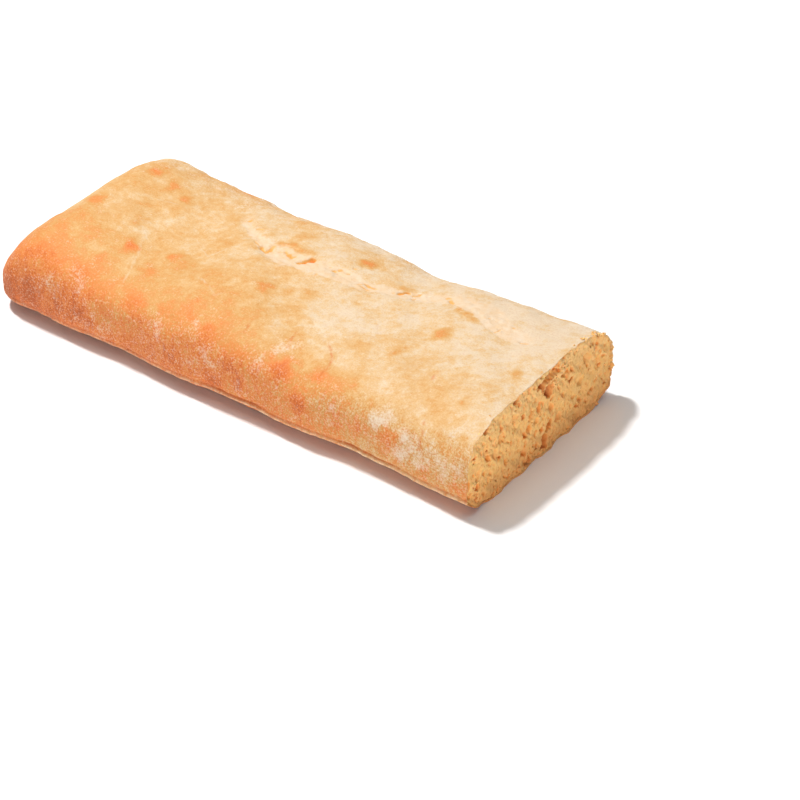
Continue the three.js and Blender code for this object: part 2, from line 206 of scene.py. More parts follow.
# Colour of the crust, from 0, pale, to 1, dark: on top along the loaf, and with the way down each side.
BAKE_ON_TOP = [(0, 0.47), (16, 0.27), (40, 0.24), (90, 0.17), (150, 0.13), (250, 0.06)]
BAKE_DOWN_FRONT = [(0, 0), (9, 0.05), (23, 0.12), (36, 0.26), (46, 0.35), (54, 0.44), (70, 0.56)]
BAKE_DOWN_BACK = [(0, 0), (14, -0.04), (30, 0.14), (50, 0.36), (60, 0.45)]
TURN_DOWN_FRONT = 12.0
TURN_DOWN_BACK = 28.0
# Below the lip the crust is browner, and it is darkened further as painted shade near the table.
FOOT_BAKE_AND_SHADE = 0.35  # below the lip at the foot
PALER_TO_CUT = 0.34  # how much less the front browned towards the cut
PALER_AT_RIP = 0.05
END_BROWNER = 0.22
BAKE_PATCHES = [(26, 0.07), (11, 0.07)]  # sizes, and how much browner or paler

# Browner spots where blisters rose: along, across, height, radius, how much browner.
SPOTS = [
    (58, -23.7, 37, 4.6, 0.34),
    (79, -17, 36, 4.0, 0.26),
    (53, -36, 36, 2.8, 0.24),
    (29, -35, 40, 4.5, 0.10),
    (25, -9, 42, 4.2, 0.30),
    (50, -10, 38.7, 2.6, 0.14),
    (30, 23, 41, 4.0, 0.28),
    (53, 19, 38, 3.4, 0.22),
    (43, 22, 39.5, 2.8, 0.16),
    (16, -24, 36, 5.0, 0.26),
    (125, -15.5, 39, 3.8, 0.28),
    (133, -12, 38, 2.6, 0.14),
    (200, 0.6, 38, 4.6, 0.34),
    (193, -18, 37, 4.0, 0.20),
    (172, -34, 34, 2.6, 0.18),
    (174, -43, 31, 3.6, 0.18),
    (159, -46.5, 30, 4.4, 0.30),
    (170, -50.4, 19, 4.4, 0.28),
    (134, -51, 24, 3.6, 0.22),
    (126, -51.8, 14, 3.6, 0.16),
    (139, -51.6, 17, 4.0, 0.20),
    (122, -51, 26, 5.0, 0.12),
    (119, -47, 32, 3.6, 0.14),
    (104, -52, 17, 4.0, 0.14),
    # This spot is painted shade: it darkens the front shoulder, which takes less light than the top.
    (82, -47.6, 30, 6.0, 0.20),
    (53, -51.9, 18, 6.0, 0.22),
    (44, -52, 20, 5.0, 0.10),
    (26, -52.5, 18, 6.0, 0.20),
    (69, -49, 8, 5.0, 0.16),
    (112, 24, 38, 4.0, 0.22),
    (146, 25, 36, 3.4, 0.26),
    (102, 36, 37, 3.4, 0.16),
    (142, -6, 38, 3.0, 0.10),
    (242, -6.5, 40, 2.6, 0.22),
    (206, 16.5, 38, 2.4, 0.16),
    (201, 19, 38, 2.4, 0.20),
    (196, 20.6, 38, 2.0, 0.18),
    (234, -32.5, 37.8, 1.2, 0.26),
    (215, -23, 38, 2.0, 0.12),
    (245, -45.7, 33, 2.0, 0.18),
    (211, -49.5, 20, 5.0, 0.24),
    (199, -49.5, 19, 5.0, 0.16),
    (230, -50, 14.5, 4.0, 0.18),
    (247, -50.7, 13, 4.0, 0.20),
]
HIDDEN_SPOTS = 26  # as many again on the sides that face away, placed by a rule
# Where flour was caught: along, across, height, radius, how thick.
FLOUR_PATCHES = [
    (122, -51, 26, 5.0, 0.45),
    (112, -47.6, 32, 4.5, 0.30),
    (153, -39, 34, 5.0, 0.60),
    (155, -34, 35, 3.6, 0.35),
    (148, -48, 29, 4.5, 0.45),
    (207, -48, 28, 5.5, 0.70),
    (203, -47, 29, 4.0, 0.40),
    (221, -49, 26, 5.5, 0.60),
    (218, -49.6, 18, 4.0, 0.60),
    (228, -50, 19, 4.5, 0.50),
    (237, -50.3, 20, 5.0, 0.45),
    (245, -50.5, 21, 4.0, 0.35),
    (31, -6, 41.6, 4.0, 0.34),
    (34, -12, 41.4, 4.0, 0.20),
    (17, -34, 34, 5.0, 0.30),
    (52, -48, 30.5, 4.5, 0.40),
    (37, -52, 24, 5.0, 0.34),
    (96, -50.5, 26, 6.0, 0.42),
    (66, -50, 12, 6.0, 0.20),
    (183, -49, 24, 9.0, 0.22),
]
HIDDEN_FLOUR = 14
FLOUR_VEIL = 0.13  # on the sides
FLOUR_BACK_EDGE = 0.42  # along the back edge of the top
FLOUR_UNDERSIDE = 0.35
# Fine pale lines where the skin stretched, and creases that run down from the top, as points on the crust.
PALE_LINES = [
    [(96, -25.7, 37.6), (101, -26.4, 38), (106, -28.7, 38.1), (111, -31.8, 38), (114, -29, 38.5)],
    [(58, -15.6, 37.1), (64, -25.8, 36), (68, -34.9, 34.6), (70, -42.1, 32.7)],
    [(48, -12.5, 38.8), (49, -7.6, 38.8), (52, -5.5, 38.4), (56, -5.2, 37.7)],
    [(79, -5.9, 36.3), (84, -7.2, 36.7), (89, -10, 37.3), (91, -5, 37.4), (93, 1, 37.6), (97, 4, 38)],
    [(149, -28.8, 36.2), (151, -25.3, 36.4), (154, -24.9, 36.1), (157, -22, 36.1), (161, -23.1, 35.8)],
    [(185, -11.4, 36.6), (202, -8.7, 37.8), (220, -3.9, 38.6), (227, 3, 39), (234, 9, 39.3)],
    [(38, 7.2, 40.7), (43, 9.4, 39.8), (47, 10.9, 39.1), (54, 12.6, 37.8)],
    [(237, -47.2, 31), (242, -48.7, 29)],
]
CREASES = [
    [(167, -27.8, 35.3), (170, -30.8, 35), (174, -34.8, 34.4), (175, -39.9, 33.1), (174, -45.6, 30.2)],
    [(134, -35.5, 36.7), (135, -40.1, 35.4), (135, -43.6, 34)],
    [(134, -45.7, 32.8), (134, -49.6, 28.8)],
    [(152, -29.6, 35.9), (153, -35.2, 35), (155, -38.9, 33.9)],
    [(180, -46.5, 30), (180, -49.3, 24.7)],
    [(225, -43.6, 33.3), (227, -47.5, 29.6), (227, -49.7, 22.9)],
    [(215, -21, 38.1), (216, -27.3, 37.6)],
]

# Camera: a long lens, so that the loaf's sides stay nearly parallel.
CAMERA_AZIMUTH = 36.7
CAMERA_ELEVATION = 35.9
CAMERA_DISTANCE = 930.0
CAMERA_AIM = (57.8, -3.9, 0.0)
FRAME_PIXELS = 800
FOCAL_PIXELS = 2288.0
SENSOR = 36.0


# ---------------------------------------------------------------- form

def swell(place, swells):
    """The sum of smooth rises at a place."""
    return sum(by * np.exp(-(((place - at) / reach) ** 2)) for at, reach, by in swells)


def smooth_step(value):
    held = np.clip(value, 0, 1)
    return held * held * (3 - 2 * held)


def bump_at(distance, reach):
    return np.exp(-((distance / reach) ** 2))


def read_off(value, curve):
    """Reads a curve given by a few points."""
    at, reading = zip(*curve)
    return np.interp(value, at, reading)


LATTICE_FACTORS = (374761393, 668265263, 1440662683)
SEED_FACTOR = 974634777


def lattice_values(cell, seed):
    """A number from -1 to 1 for each cell of a grid, the same each time."""
    mixed = sum(cell[..., i] * factor for i, factor in enumerate(LATTICE_FACTORS)) + seed * SEED_FACTOR
    mixed = (mixed ^ (mixed >> 13)) * 1274126177 & 0xFFFFFFFF
    mixed = (mixed ^ (mixed >> 16)) * 2246822519 & 0xFFFFFFFF
    return ((mixed ^ (mixed >> 15)) & 0xFFFF) / 32767.5 - 1


def noise(points, size, seed):
    """Smooth random waves from about -1 to 1. Size is in mm, one number or one for each axis."""
    scaled = points / np.asarray(size, float)
    cell = np.floor(scaled).astype(np.int64)
    part = scaled - cell
    ease = part * part * part * (part * (part * 6 - 15) + 10)
    total = 0.0
    for corner in itertools.product((0, 1), repeat=3):
        weight = np.prod(np.where(corner, ease, 1 - ease), axis=-1)
        total = total + weight * lattice_values(cell + np.array(corner), seed)
    return total


def layered(points, size, seed, layers=3):
    """Noise with finer layers, each half the size and height of the last."""
    size = np.asarray(size, float)
    return sum(noise(points, size / 2**i, seed + i) / 2**i for i in range(layers))


def rough(points, layers, seed):
    """The sum of several noises, each given by its size and height."""
    return sum(height * noise(points, size, seed + i) for i, (size, height) in enumerate(layers))


def flat_noise(place, across, size, seed):
    """Noise over a plan of the loaf."""
    place, across = np.broadcast_arrays(place, across)
    return noise(np.stack([place, across, np.full(place.shape, 0.37)], axis=-1), size, seed)


def corner_inset(place, corner):
    run, inset = corner
    inward = 1 - np.clip(place / run, 0, 1)
    return inset * (1 - np.sqrt(1 - inward**2))


Section = namedtuple("Section", "half middle top widest base")


def section(place):
    """Half width, middle, top, widest line's height and base of the loaf's section."""
    front = -WIDTH / 2 - swell(place, FRONT_SWELLS) + corner_inset(place, FRONT_CORNER)
    back = WIDTH / 2 + swell(place, BACK_SWELLS) - corner_inset(place, BACK_CORNER)
    outward = 1 - np.clip(place / TOP_FALL_RUN, 0, 1)
    rise = (1 - outward**TOP_FALL_ROUNDNESS) ** (1 / TOP_FALL_ROUNDNESS)
    top = END_HEIGHT + (HEIGHT + swell(place, TOP_SWELLS) - END_HEIGHT) * rise
    under = 1 - np.clip(place / UNDERSIDE_LIFT_RUN, 0, 1)
    base = END_HEIGHT * (1 - np.sqrt(1 - under**2))
    widest = np.minimum(base + WIDEST_AT * rise, top - 0.5)
    return Section((back - front) / 2, (back + front) / 2, top, widest, base)


def outline(place, angle):
    """Across and height of the section's outline. Angle 0 is the back, a quarter turn the top."""
    half, middle, top, widest, base = section(place)
    cosine, sine = np.cos(angle), np.sin(angle)
    shoulder = np.where(cosine >= 0, BACK_SHOULDER, FRONT_SHOULDER)
    power = 2 / np.where(sine >= 0, shoulder, LOWER_EDGE)
    across = middle + half * np.sign(cosine) * np.abs(cosine) ** power
    upward = np.abs(sine) ** power
    depth = widest - base
    flattened = np.minimum(BASE_FLATTENED, 0.3 * depth)
    lift = depth * (1 - upward)
    lower = base + np.maximum(0, lift - flattened) * depth / (depth - flattened)
    return across, np.where(sine >= 0, widest + (top - widest) * upward, lower)


def rip_middle(place):
    return RIP_MIDDLE + swell(place, RIP_BENDS)


def rip_open(place):
    return smooth_step((place - RIP_START) / RIP_FADE) * smooth_step((RIP_END - place) / RIP_FADE)


def lumps(place, across, height):
    """Soft unevenness of the dough."""
    total = 0.0
    for i, length in enumerate(LUMP_LENGTHS):
        turn = 2 * math.pi / length
        along = np.sin(turn * place + 1.3 * i)
        total = total + along * np.cos(turn * (0.8 * across + 1.1 * height) + 0.9 * i) / (i + 1)
    return LUMP_HEIGHT * total


def trough(place, across):
    """The gentle dip beside the rip, with its crust curled up along the edge."""
    away = (across - rip_middle(place)) / (TROUGH_HALF_WIDTH + swell(place, TROUGH_WIDER))
    depth = TROUGH_DEPTH + swell(place, TROUGH_DEEPER)
    lip = LIP_HEIGHT * np.exp(-2 * (np.abs(away) - 1.9) ** 2)
    return rip_open(place) * (lip - depth * np.exp(-(away**2)))


def skin_share(place, across):
    """1 on the stretched skin of the rip, 0 on whole crust, with ragged edges."""
    ragged = 1.1 * flat_noise(place, across, 9, 21) + 1.0 * flat_noise(place, across, 3.4, 22)
    ragged = ragged + 0.7 * flat_noise(place, across, 1.5, 23)
    from_front = across - rip_middle(place) + SKIN_FRONT + swell(place, SKIN_FRONT_MORE) + ragged
    from_back = rip_middle(place) + SKIN_BACK + swell(place, SKIN_BACK_MORE) - across + 1.4 * ragged
    ends = smooth_step((place - RIP_START) / 12) * smooth_step((RIP_END - 2 - place) / 8)
    return smooth_step(from_front / 2.2 + 0.5) * smooth_step(from_back / 4.5 + 0.5) * ends


def strokes(place, across, marks, ragged=0.0):
    """The greatest of several soft strokes over a plan of the loaf, each with a width and a strength."""
    total = np.zeros(np.broadcast(place, across).shape)
    for from_place, from_across, to_place, to_across, half_wide, strength in marks:
        run, rise = to_place - from_place, to_across - from_across
        walked = ((place - from_place) * run + (across - from_across) * rise) / (run * run + rise * rise)
        walked = np.clip(walked, 0, 1)
        away = np.hypot(place - from_place - walked * run, across - from_across - walked * rise)
        reach = np.maximum(away / half_wide + ragged, 0)
        total = np.maximum(total, strength * np.clip(1 - reach**2, 0, 1))
    return total


def dents(place, across, hollows):
    """Depth of rounded hollows in a surface, given their middles, half sizes and depths."""
    total = np.zeros(np.broadcast(place, across).shape)
    for along, beside, half_long, half_wide, deep in hollows:
        away = ((place - along) / half_long) ** 2 + ((across - beside) / half_wide) ** 2
        total = np.maximum(total, deep * np.sqrt(np.clip(1 - away, 0, 1)))
    return total


def foot_lines(place, height, base, share):
    """The pinched line along the foot of a side, and the thin pale lip below it, each from 0 to 1."""
    wander = 0.9 * flat_noise(place, 0.0, 31, 3) + 0.4 * flat_noise(place, 0.0, 9, 4)
    strength = share * (0.55 + 0.45 * smooth_step((place - 20) / 90) + 0.3 * flat_noise(place, 0.0, 13, 5))
    pinched = bump_at(height - base - SEAM_HEIGHT - wander, SEAM_REACH)
    lip = bump_at(height - base - LIP_AT_SEAM - wander, LIP_REACH)
    return strength * pinched, strength * lip


def cut_relief(across, height):
    """How far the cut face stands out from its plane, as on the solid."""
    total = 0.0
    for i, length in enumerate(CUT_WAVES):
        turn = 2 * math.pi / length
        total = total + np.sin(turn * across + 2 * i) * np.cos(turn * height * 1.2 + i) / (i + 1)
    return CUT_ROUGHNESS * total


def torn_cut(across, height):
    """How far the crumb tore back behind the cut towards the loaf's back."""
    share = smooth_step((across - 4) / 26)
    torn = 0.5 + 0.5 * flat_noise(across, height, 6.5, 26) + 0.35 * flat_noise(across, height, 2.8, 27)
    return CUT_TORN * share * np.maximum(torn, 0)


# ---------------------------------------------------------------- meshes

def new_object(name, data):
    """An object at the origin, linked into the scene."""
    made = bpy.data.objects.new(name, data)
    bpy.context.scene.collection.objects.link(made)
    return made


def mesh_object(name, points, faces, material):
    """A mesh object at the origin from points in mm and a list of face index arrays."""
    mesh = bpy.data.meshes.new(name)
    corners = np.concatenate([part.ravel() for part in faces]).astype(np.int32)
    sizes = np.concatenate([np.full(len(part), part.shape[1]) for part in faces])
    mesh.vertices.add(len(points))
    mesh.vertices.foreach_set("co", (points * MM).astype(np.float32).ravel())
    mesh.loops.add(len(corners))
    mesh.loops.foreach_set("vertex_index", corners)
    mesh.polygons.add(len(sizes))
    mesh.polygons.foreach_set("loop_start", np.concatenate([[0], np.cumsum(sizes)[:-1]]).astype(np.int32))
    mesh.update(calc_edges=True)
    mesh.validate()
    mesh.polygons.foreach_set("use_smooth", np.ones(len(mesh.polygons), bool))
    mesh.materials.append(material)
    return new_object(name, mesh)


def store(mesh, name, values):
    """A number for each point, for the materials and nodes to read."""
    layer = mesh.attributes.new(name, "FLOAT", "POINT")
    layer.data.foreach_set("value", np.asarray(values, np.float32).ravel())


def ring_quads(rings, around):
    """Quads between rings of points, faces out where the rings run over the top, front to back."""
    i, j = np.meshgrid(np.arange(rings - 1), np.arange(around), indexing="ij")
    a = i * around + j
    b = i * around + (j + 1) % around
    return np.stack([a, a + around, b + around, b], axis=-1).reshape(-1, 4)


def ladder(points, upper, lower):
    """Triangles that close a ring between its upper and its lower run, which share both ends."""
    made = []
    i, j = 0, 0
    while i < len(upper) - 1 or j < len(lower) - 1:
        step_upper = j == len(lower) - 1
        if i < len(upper) - 1 and not step_upper:
            step_upper = points[upper[i + 1], 1] <= points[lower[j + 1], 1]
        corners = [upper[i], lower[j]]
        i, j = (i + 1, j) if step_upper else (i, j + 1)
        corners.append(upper[i] if step_upper else lower[j])
        if len(set(corners)) == 3:
            made.append(corners)
    return np.array(made)


def even_along(start, end, spacing):
    """Places from start to end, as close together as spacing says at each."""
    fine = np.linspace(start, end, 6000)
    passed = np.concatenate([[0], np.cumsum(np.diff(fine) / spacing(fine[1:]))])
    return np.interp(np.linspace(0, passed[-1], int(passed[-1]) + 1), passed, fine)


# The crust's mesh: how far apart its rings stand, in mm, and how many points each has.
RING_STEP = 1.15
RING_STEP_AT_RIP = 0.58
RING_STEP_AT_END = 0.45
OVER_POINTS = 168
UNDER_POINTS = 74
OUTLINE_SAMPLES = 700


def crust_places():
    def spacing(place):
        plain = RING_STEP + (RING_STEP_AT_RIP - RING_STEP) * rip_open(place)
        return plain + (RING_STEP_AT_END - plain) * bump_at(place, 14)
    return even_along(0.1, LENGTH, spacing)


def crust_half(places, from_angle, to_angle, count, over):
    """Points of the upper or lower half of each ring, closer together at the rip and the seam."""
    angle = np.linspace(from_angle, to_angle, OUTLINE_SAMPLES)[None, :]
    place = places[:, None]
    across, height = outline(place, angle)
    loaf = section(place)
    if over:
        density = 1 + 2.2 * rip_open(place) * bump_at(across - rip_middle(place) - 1, 8)
    else:
        at_side = smooth_step((np.abs(across - loaf.middle) - 0.6 * loaf.half) / 12)
        at_lip = bump_at(height - loaf.base - LIP_AT_SEAM - 0.7, 2.6) * (place > 12)
        density = 0.5 + at_side * (0.5 + 3.0 * at_lip)
    steps = np.hypot(np.diff(across), np.diff(height)) * density[:, 1:]
    passed = np.concatenate([np.zeros((len(places), 1)), np.cumsum(steps, axis=1)], axis=1)
    rows = []
    for i in range(len(places)):
        goal = passed[i, -1] * np.arange(count) / count
        rows.append((np.interp(goal, passed[i], across[i]), np.interp(goal, passed[i], height[i])))
    return np.array(rows)


def crust_rings():
    """The crust's plain outline as (rings, around, 3)."""
    places = crust_places()
    over = crust_half(places, math.pi, 0, OVER_POINTS, True)
    under = crust_half(places, 2 * math.pi, math.pi, UNDER_POINTS, False)
    rows = np.concatenate([over, under], axis=2)
    points = np.empty((len(places), rows.shape[2], 3))
    points[..., 0] = places[:, None]
    points[..., 1] = rows[:, 0]
    points[..., 2] = rows[:, 1]
    return points


def ring_outward(points):
    """Outward direction in the section's plane for each point of each ring."""
    run = np.roll(points, -1, axis=1) - np.roll(points, 1, axis=1)
    run[..., 0] = 0
    run /= np.linalg.norm(run, axis=-1, keepdims=True) + 1e-9
    return np.stack([np.zeros(run.shape[:2]), -run[..., 2], run[..., 1]], axis=-1)


def surface_normal(points):
    """Outward normal of a grid of rings."""
    along = np.gradient(points, axis=0)
    around = np.roll(points, -1, axis=1) - np.roll(points, 1, axis=1)
    normal = np.cross(along, around)
    return normal / (np.linalg.norm(normal, axis=-1, keepdims=True) + 1e-9)


def near_marks(points, marks):
    """The greatest of several soft uneven round marks at each point."""
    total = np.zeros(points.shape[:-1])
    warp = np.stack([noise(points, 6, 50 + i) + 0.5 * noise(points, 2.6, 53 + i) for i in range(3)], axis=-1)
    for along, across, height, radius, strength in marks:
        offset = points + warp * radius * 0.4 - np.array([along, across, height])
        distance = np.linalg.norm(offset, axis=-1)
        total = np.maximum(total, strength * np.exp(-((distance / radius) ** 3)))
    return total


def hidden_marks(count, seed, radii, strengths):
    """Marks on the back and the blunt end, placed by a seeded rule."""
    draw = np.random.default_rng(seed)
    marks = []
    for _ in range(count):
        place = draw.uniform(6, LENGTH - 6)
        angle = draw.uniform(-0.45, 0.55)
        across, height = outline(np.array(place), np.array(angle))
        marks.append((place, float(across), float(height), draw.uniform(*radii), draw.uniform(*strengths)))
    return marks


LINE_REACH = 4.0  # mm from a line, past which it isn't told apart


def line_field(points, normal, lines):
    """Signed distance to the nearest of some lines on the crust, and a strength that fades at their ends.

    The sign changes across a line, so a material can draw it thinner than the mesh's points stand apart.
    """
    flat, facing = points.reshape(-1, 3), normal.reshape(-1, 3)
    least = np.full(len(flat), LINE_REACH)
    signed = np.full(len(flat), LINE_REACH)
    strength = np.zeros(len(flat))
    for line in lines:
        knots = np.array(line, float)
        lengths = np.linalg.norm(np.diff(knots, axis=0), axis=1)
        walked = np.concatenate([[0], np.cumsum(lengths)])
        for start, end, before, length in zip(knots, knots[1:], walked, lengths):
            run = (end - start) / length
            along = (flat - start) @ run
            offset = flat - start - np.clip(along, 0, length)[:, None] * run
            distance = np.linalg.norm(offset, axis=1)
            side = np.sign(np.sum(offset * np.cross(facing, run), axis=1))
            to_end = np.minimum(before + along, walked[-1] - before - along)
            nearer = distance < least
            least = np.where(nearer, distance, least)
            signed = np.where(nearer, side * distance, signed)
            fade = smooth_step(to_end / 3 + 0.2) * np.clip(2 - distance / 1.2, 0, 1)
            strength = np.where(nearer, fade, strength)
    shape = points.shape[:-1]
    return signed.reshape(shape), strength.reshape(shape)


def side_share(points):
    """1 low on the two sides, 0 on top and on the flat base."""
    place, across = points[..., 0], points[..., 1]
    loaf = section(place)
    return smooth_step((np.abs(across - loaf.middle) - 0.6 * loaf.half) / 12) * smooth_step(place / 14)


def crust_relief(points, skin, pit):
    """The crust's shape over its plain outline: lumps, trough, torn skin and seam."""
    place, across, height = points[..., 0], points[..., 1], points[..., 2]
    loaf = section(place)
    over_floor = smooth_step((height - loaf.base) / 8)
    pinched, lip = foot_lines(place, height, loaf.base, side_share(points))
    shaped = lumps(place, across, height) * over_floor + LIP_PROUD * lip - SEAM_DEPTH * pinched
    torn = rough(points, TORN_SKIN, 65) - TORN_SKIN_SUNK
    shaped = shaped + (height > loaf.widest) * trough(place, across) + skin * torn - PIT_SINK * pit
    return shaped * smooth_step(place / 12)


def fine_relief(points):
    """Blisters, wrinkles and grain of the crust, outward, in mm."""
    place, across, height = points[..., 0], points[..., 1], points[..., 2]
    base = section(place).base
    blisters = BLISTER_RISE * near_marks(points, SPOTS)
    side = smooth_step((35 - height) / 14) * smooth_step((height - base - 1) / 4)
    wrinkles = rough(points, WRINKLES, 60)
    back_edge = smooth_step((across - 30) / 12)
    uneven = rough(points, UNEVENNESS, 62) * (1 + UNEVEN_AT_BACK * back_edge)
    over_floor = smooth_step((height - base) / 3)
    return (blisters + WRINKLE_HEIGHT * side * wrinkles + uneven) * over_floor


def crust_points():
    """The crust's outer surface, and the share of stretched skin and depth of pit at each point."""
    plain = crust_rings()
    place, across, height = plain[..., 0], plain[..., 1], plain[..., 2]
    on_top = height > section(place).widest
    skin = skin_share(place, across) * on_top
    ragged = 0.5 * flat_noise(place, across, 1.5, 24) + 0.3 * flat_noise(place, across, 0.8, 25)
    pit = strokes(place, across, PITS, ragged) * on_top
    shaped = plain + ring_outward(plain) * crust_relief(plain, skin, pit)[..., None]
    shaped = shaped + surface_normal(shaped) * fine_relief(shaped)[..., None]
    shaped[..., 2] = np.maximum(shaped[..., 2], section(place).base)
    near_cut = smooth_step((place - LENGTH + 7) / 7)
    rim = shaped[-1]
    ragged = cut_relief(rim[:, 1], rim[:, 2]) + 0.3 * layered(rim, 3.1, 70)
    ragged = ragged - 0.7 * torn_cut(rim[:, 1], rim[:, 2])
    shaped[..., 0] += near_cut * ragged[None, :]
    return shaped, skin, pit


def inside_ring(points, behind, inset):
    """The crust's ring that stands this far behind the cut, moved inward."""
    k = int(np.argmin(np.abs(points[..., 0].mean(axis=1) - LENGTH + behind)))
    return points[k] - ring_outward(points[k:k + 1])[0] * inset


def cut_end(points):
    """Rings to add after the last one: the crust's inner edge at the cut, and the cup behind it."""
    last = points[-1]
    outward = ring_outward(points[-1:])[0]
    inner = last - outward * CRUST_THICKNESS * (0.85 + 0.25 * noise(last, 4, 71))[:, None]
    inner[:, 0] -= 0.2 + 0.2 * noise(last, 2.2, 72)
    wall = inside_ring(points, 0.6 * CUP_DEPTH, CRUST_THICKNESS + 0.2)
    floor = inside_ring(points, CUP_DEPTH, CRUST_THICKNESS + 0.4)
    return np.stack([inner, wall, floor])


def crust_bake(points):
    """How brown the crust is, from 0, pale, to 1, dark."""
    place, across, height = points[..., 0], points[..., 1], points[..., 2]
    loaf = section(place)
    below = np.maximum(0, loaf.top - height - 1.5)
    paler = 1 - PALER_TO_CUT * smooth_step((place - 130) / 100)
    down_front = paler * read_off(np.maximum(0, -TURN_DOWN_FRONT - across) + below, BAKE_DOWN_FRONT)
    down_back = read_off(np.maximum(0, across - TURN_DOWN_BACK) + below, BAKE_DOWN_BACK)
    bake = read_off(place, BAKE_ON_TOP) + np.where(across < loaf.middle, down_front, down_back)
    bake = bake - PALER_AT_RIP * bump_at(across - rip_middle(place), 12) * rip_open(place)
    bake = bake + END_BROWNER * smooth_step((22 - place) / 18) * smooth_step(below / 20)
    # Below the lip: partly browner crust, partly painted shade under the overhang.
    below_lip = smooth_step((LIP_AT_SEAM - 0.6 - height + loaf.base) / 2)
    bake = bake + FOOT_BAKE_AND_SHADE * below_lip * smooth_step(place / 20)
    bake = bake + rough(points, BAKE_PATCHES, 80)
    on_top = height > loaf.widest
    bake = bake + strokes(place, across, BROWNED_EDGES, 0.4 * flat_noise(place, across, 2.2, 82)) * on_top
    bake = bake + near_marks(points, SPOTS + hidden_marks(HIDDEN_SPOTS, 5, (3, 7), (0.1, 0.3)))
    return np.clip(bake, 0, 1)


def crust_flour(points, normal):
    """How much flour lies on the crust, from 0 to 1."""
    across, height = points[..., 1], points[..., 2]
    base = section(points[..., 0]).base
    patches = near_marks(points, FLOUR_PATCHES + hidden_marks(HIDDEN_FLOUR, 6, (5, 10), (0.3, 0.6)))
    side = smooth_step((0.85 - normal[..., 2]) / 0.7) * smooth_step((height - base - 4) / 8)
    veil = FLOUR_VEIL * side * (0.7 + 0.6 * noise(points, 18, 90) + 0.3 * noise(points, 6, 92))
    back_edge = FLOUR_BACK_EDGE * smooth_step((across - 22) / 20) * (0.8 + 0.5 * noise(points, 15, 91))
    underside = FLOUR_UNDERSIDE * smooth_step((-normal[..., 2] - 0.5) / 0.4)
    return np.clip(patches + veil + back_edge + underside, 0, 1)


def build_crust(points, skin, pit, material):
    normal = surface_normal(points)
    around = points.shape[1]
    rings = np.concatenate([points, cut_end(points)])
    flat = rings.reshape(-1, 3).copy()
    flat[:, 0] -= LENGTH / 2
    upper = list(range(OVER_POINTS + 1))
    lower = [0] + list(range(around - 1, OVER_POINTS - 1, -1))
    last = (len(rings) - 1) * around
    start_cap = ladder(flat, upper, lower)[:, [0, 2, 1]]
    end_cap = ladder(flat[last:], upper, lower) + last
    crust = mesh_object("crust", flat, [start_cap, ring_quads(len(rings), around), end_cap], material)
    crust.data.set_sharp_from_angle(angle=math.radians(SHARP_ANGLE))

    def to_end(values, inner, within):
        """The values, with rows added for the inner edge at the cut and for the cup behind it."""
        edge = np.zeros(around) + inner
        return np.concatenate([values, edge[None, :], np.full((2, around), within)])

    base = section(points[..., 0]).base
    pinched, lip = foot_lines(points[..., 0], points[..., 2], base, side_share(points))
    pale, pale_strength = line_field(points, normal, PALE_LINES)
    crease, crease_strength = line_field(points, normal, CREASES)
    bake = crust_bake(points)
    low_down = smooth_step((24 - points[-1, :, 2]) / 14)
    side = smooth_step((0.98 - normal[..., 2]) / 0.75)
    # What the material reads: the values, then what they are on the inner edge and in the cup.
    for name, values, inner, within in [
        ("bake", bake, 0.10 + 0.4 * low_down, 0.1),
        ("side", side, 0, 0),
        ("flour", crust_flour(points, normal), 0, 0),
        ("skin", skin, 0, 0),
        ("pit", pit / PIT_DEEPEST, 0, 0),
        ("crumb", np.zeros(pit.shape), 0.6, 1),
        ("seam", pinched, 0, 0),
        ("lip", lip, 0, 0),
        ("pale_line", pale, LINE_REACH, LINE_REACH),
        ("pale_strength", pale_strength, 0, 0),
        ("crease", crease, LINE_REACH, LINE_REACH),
        ("crease_strength", crease_strength, 0, 0),
    ]:
        store(crust.data, name, to_end(values, inner, within))
    return crust


def even_ring(ring, count):
    """The same closed ring with its points spread evenly."""
    closed = np.concatenate([ring, ring[:1]])
    walked = np.concatenate([[0], np.cumsum(np.linalg.norm(np.diff(closed, axis=0), axis=-1))])
    goal = walked[-1] * np.arange(count) / count
    return np.stack([np.interp(goal, walked, closed[:, i]) for i in range(ring.shape[1])], axis=-1)


BODY_RINGS = 66
BODY_AROUND = 240


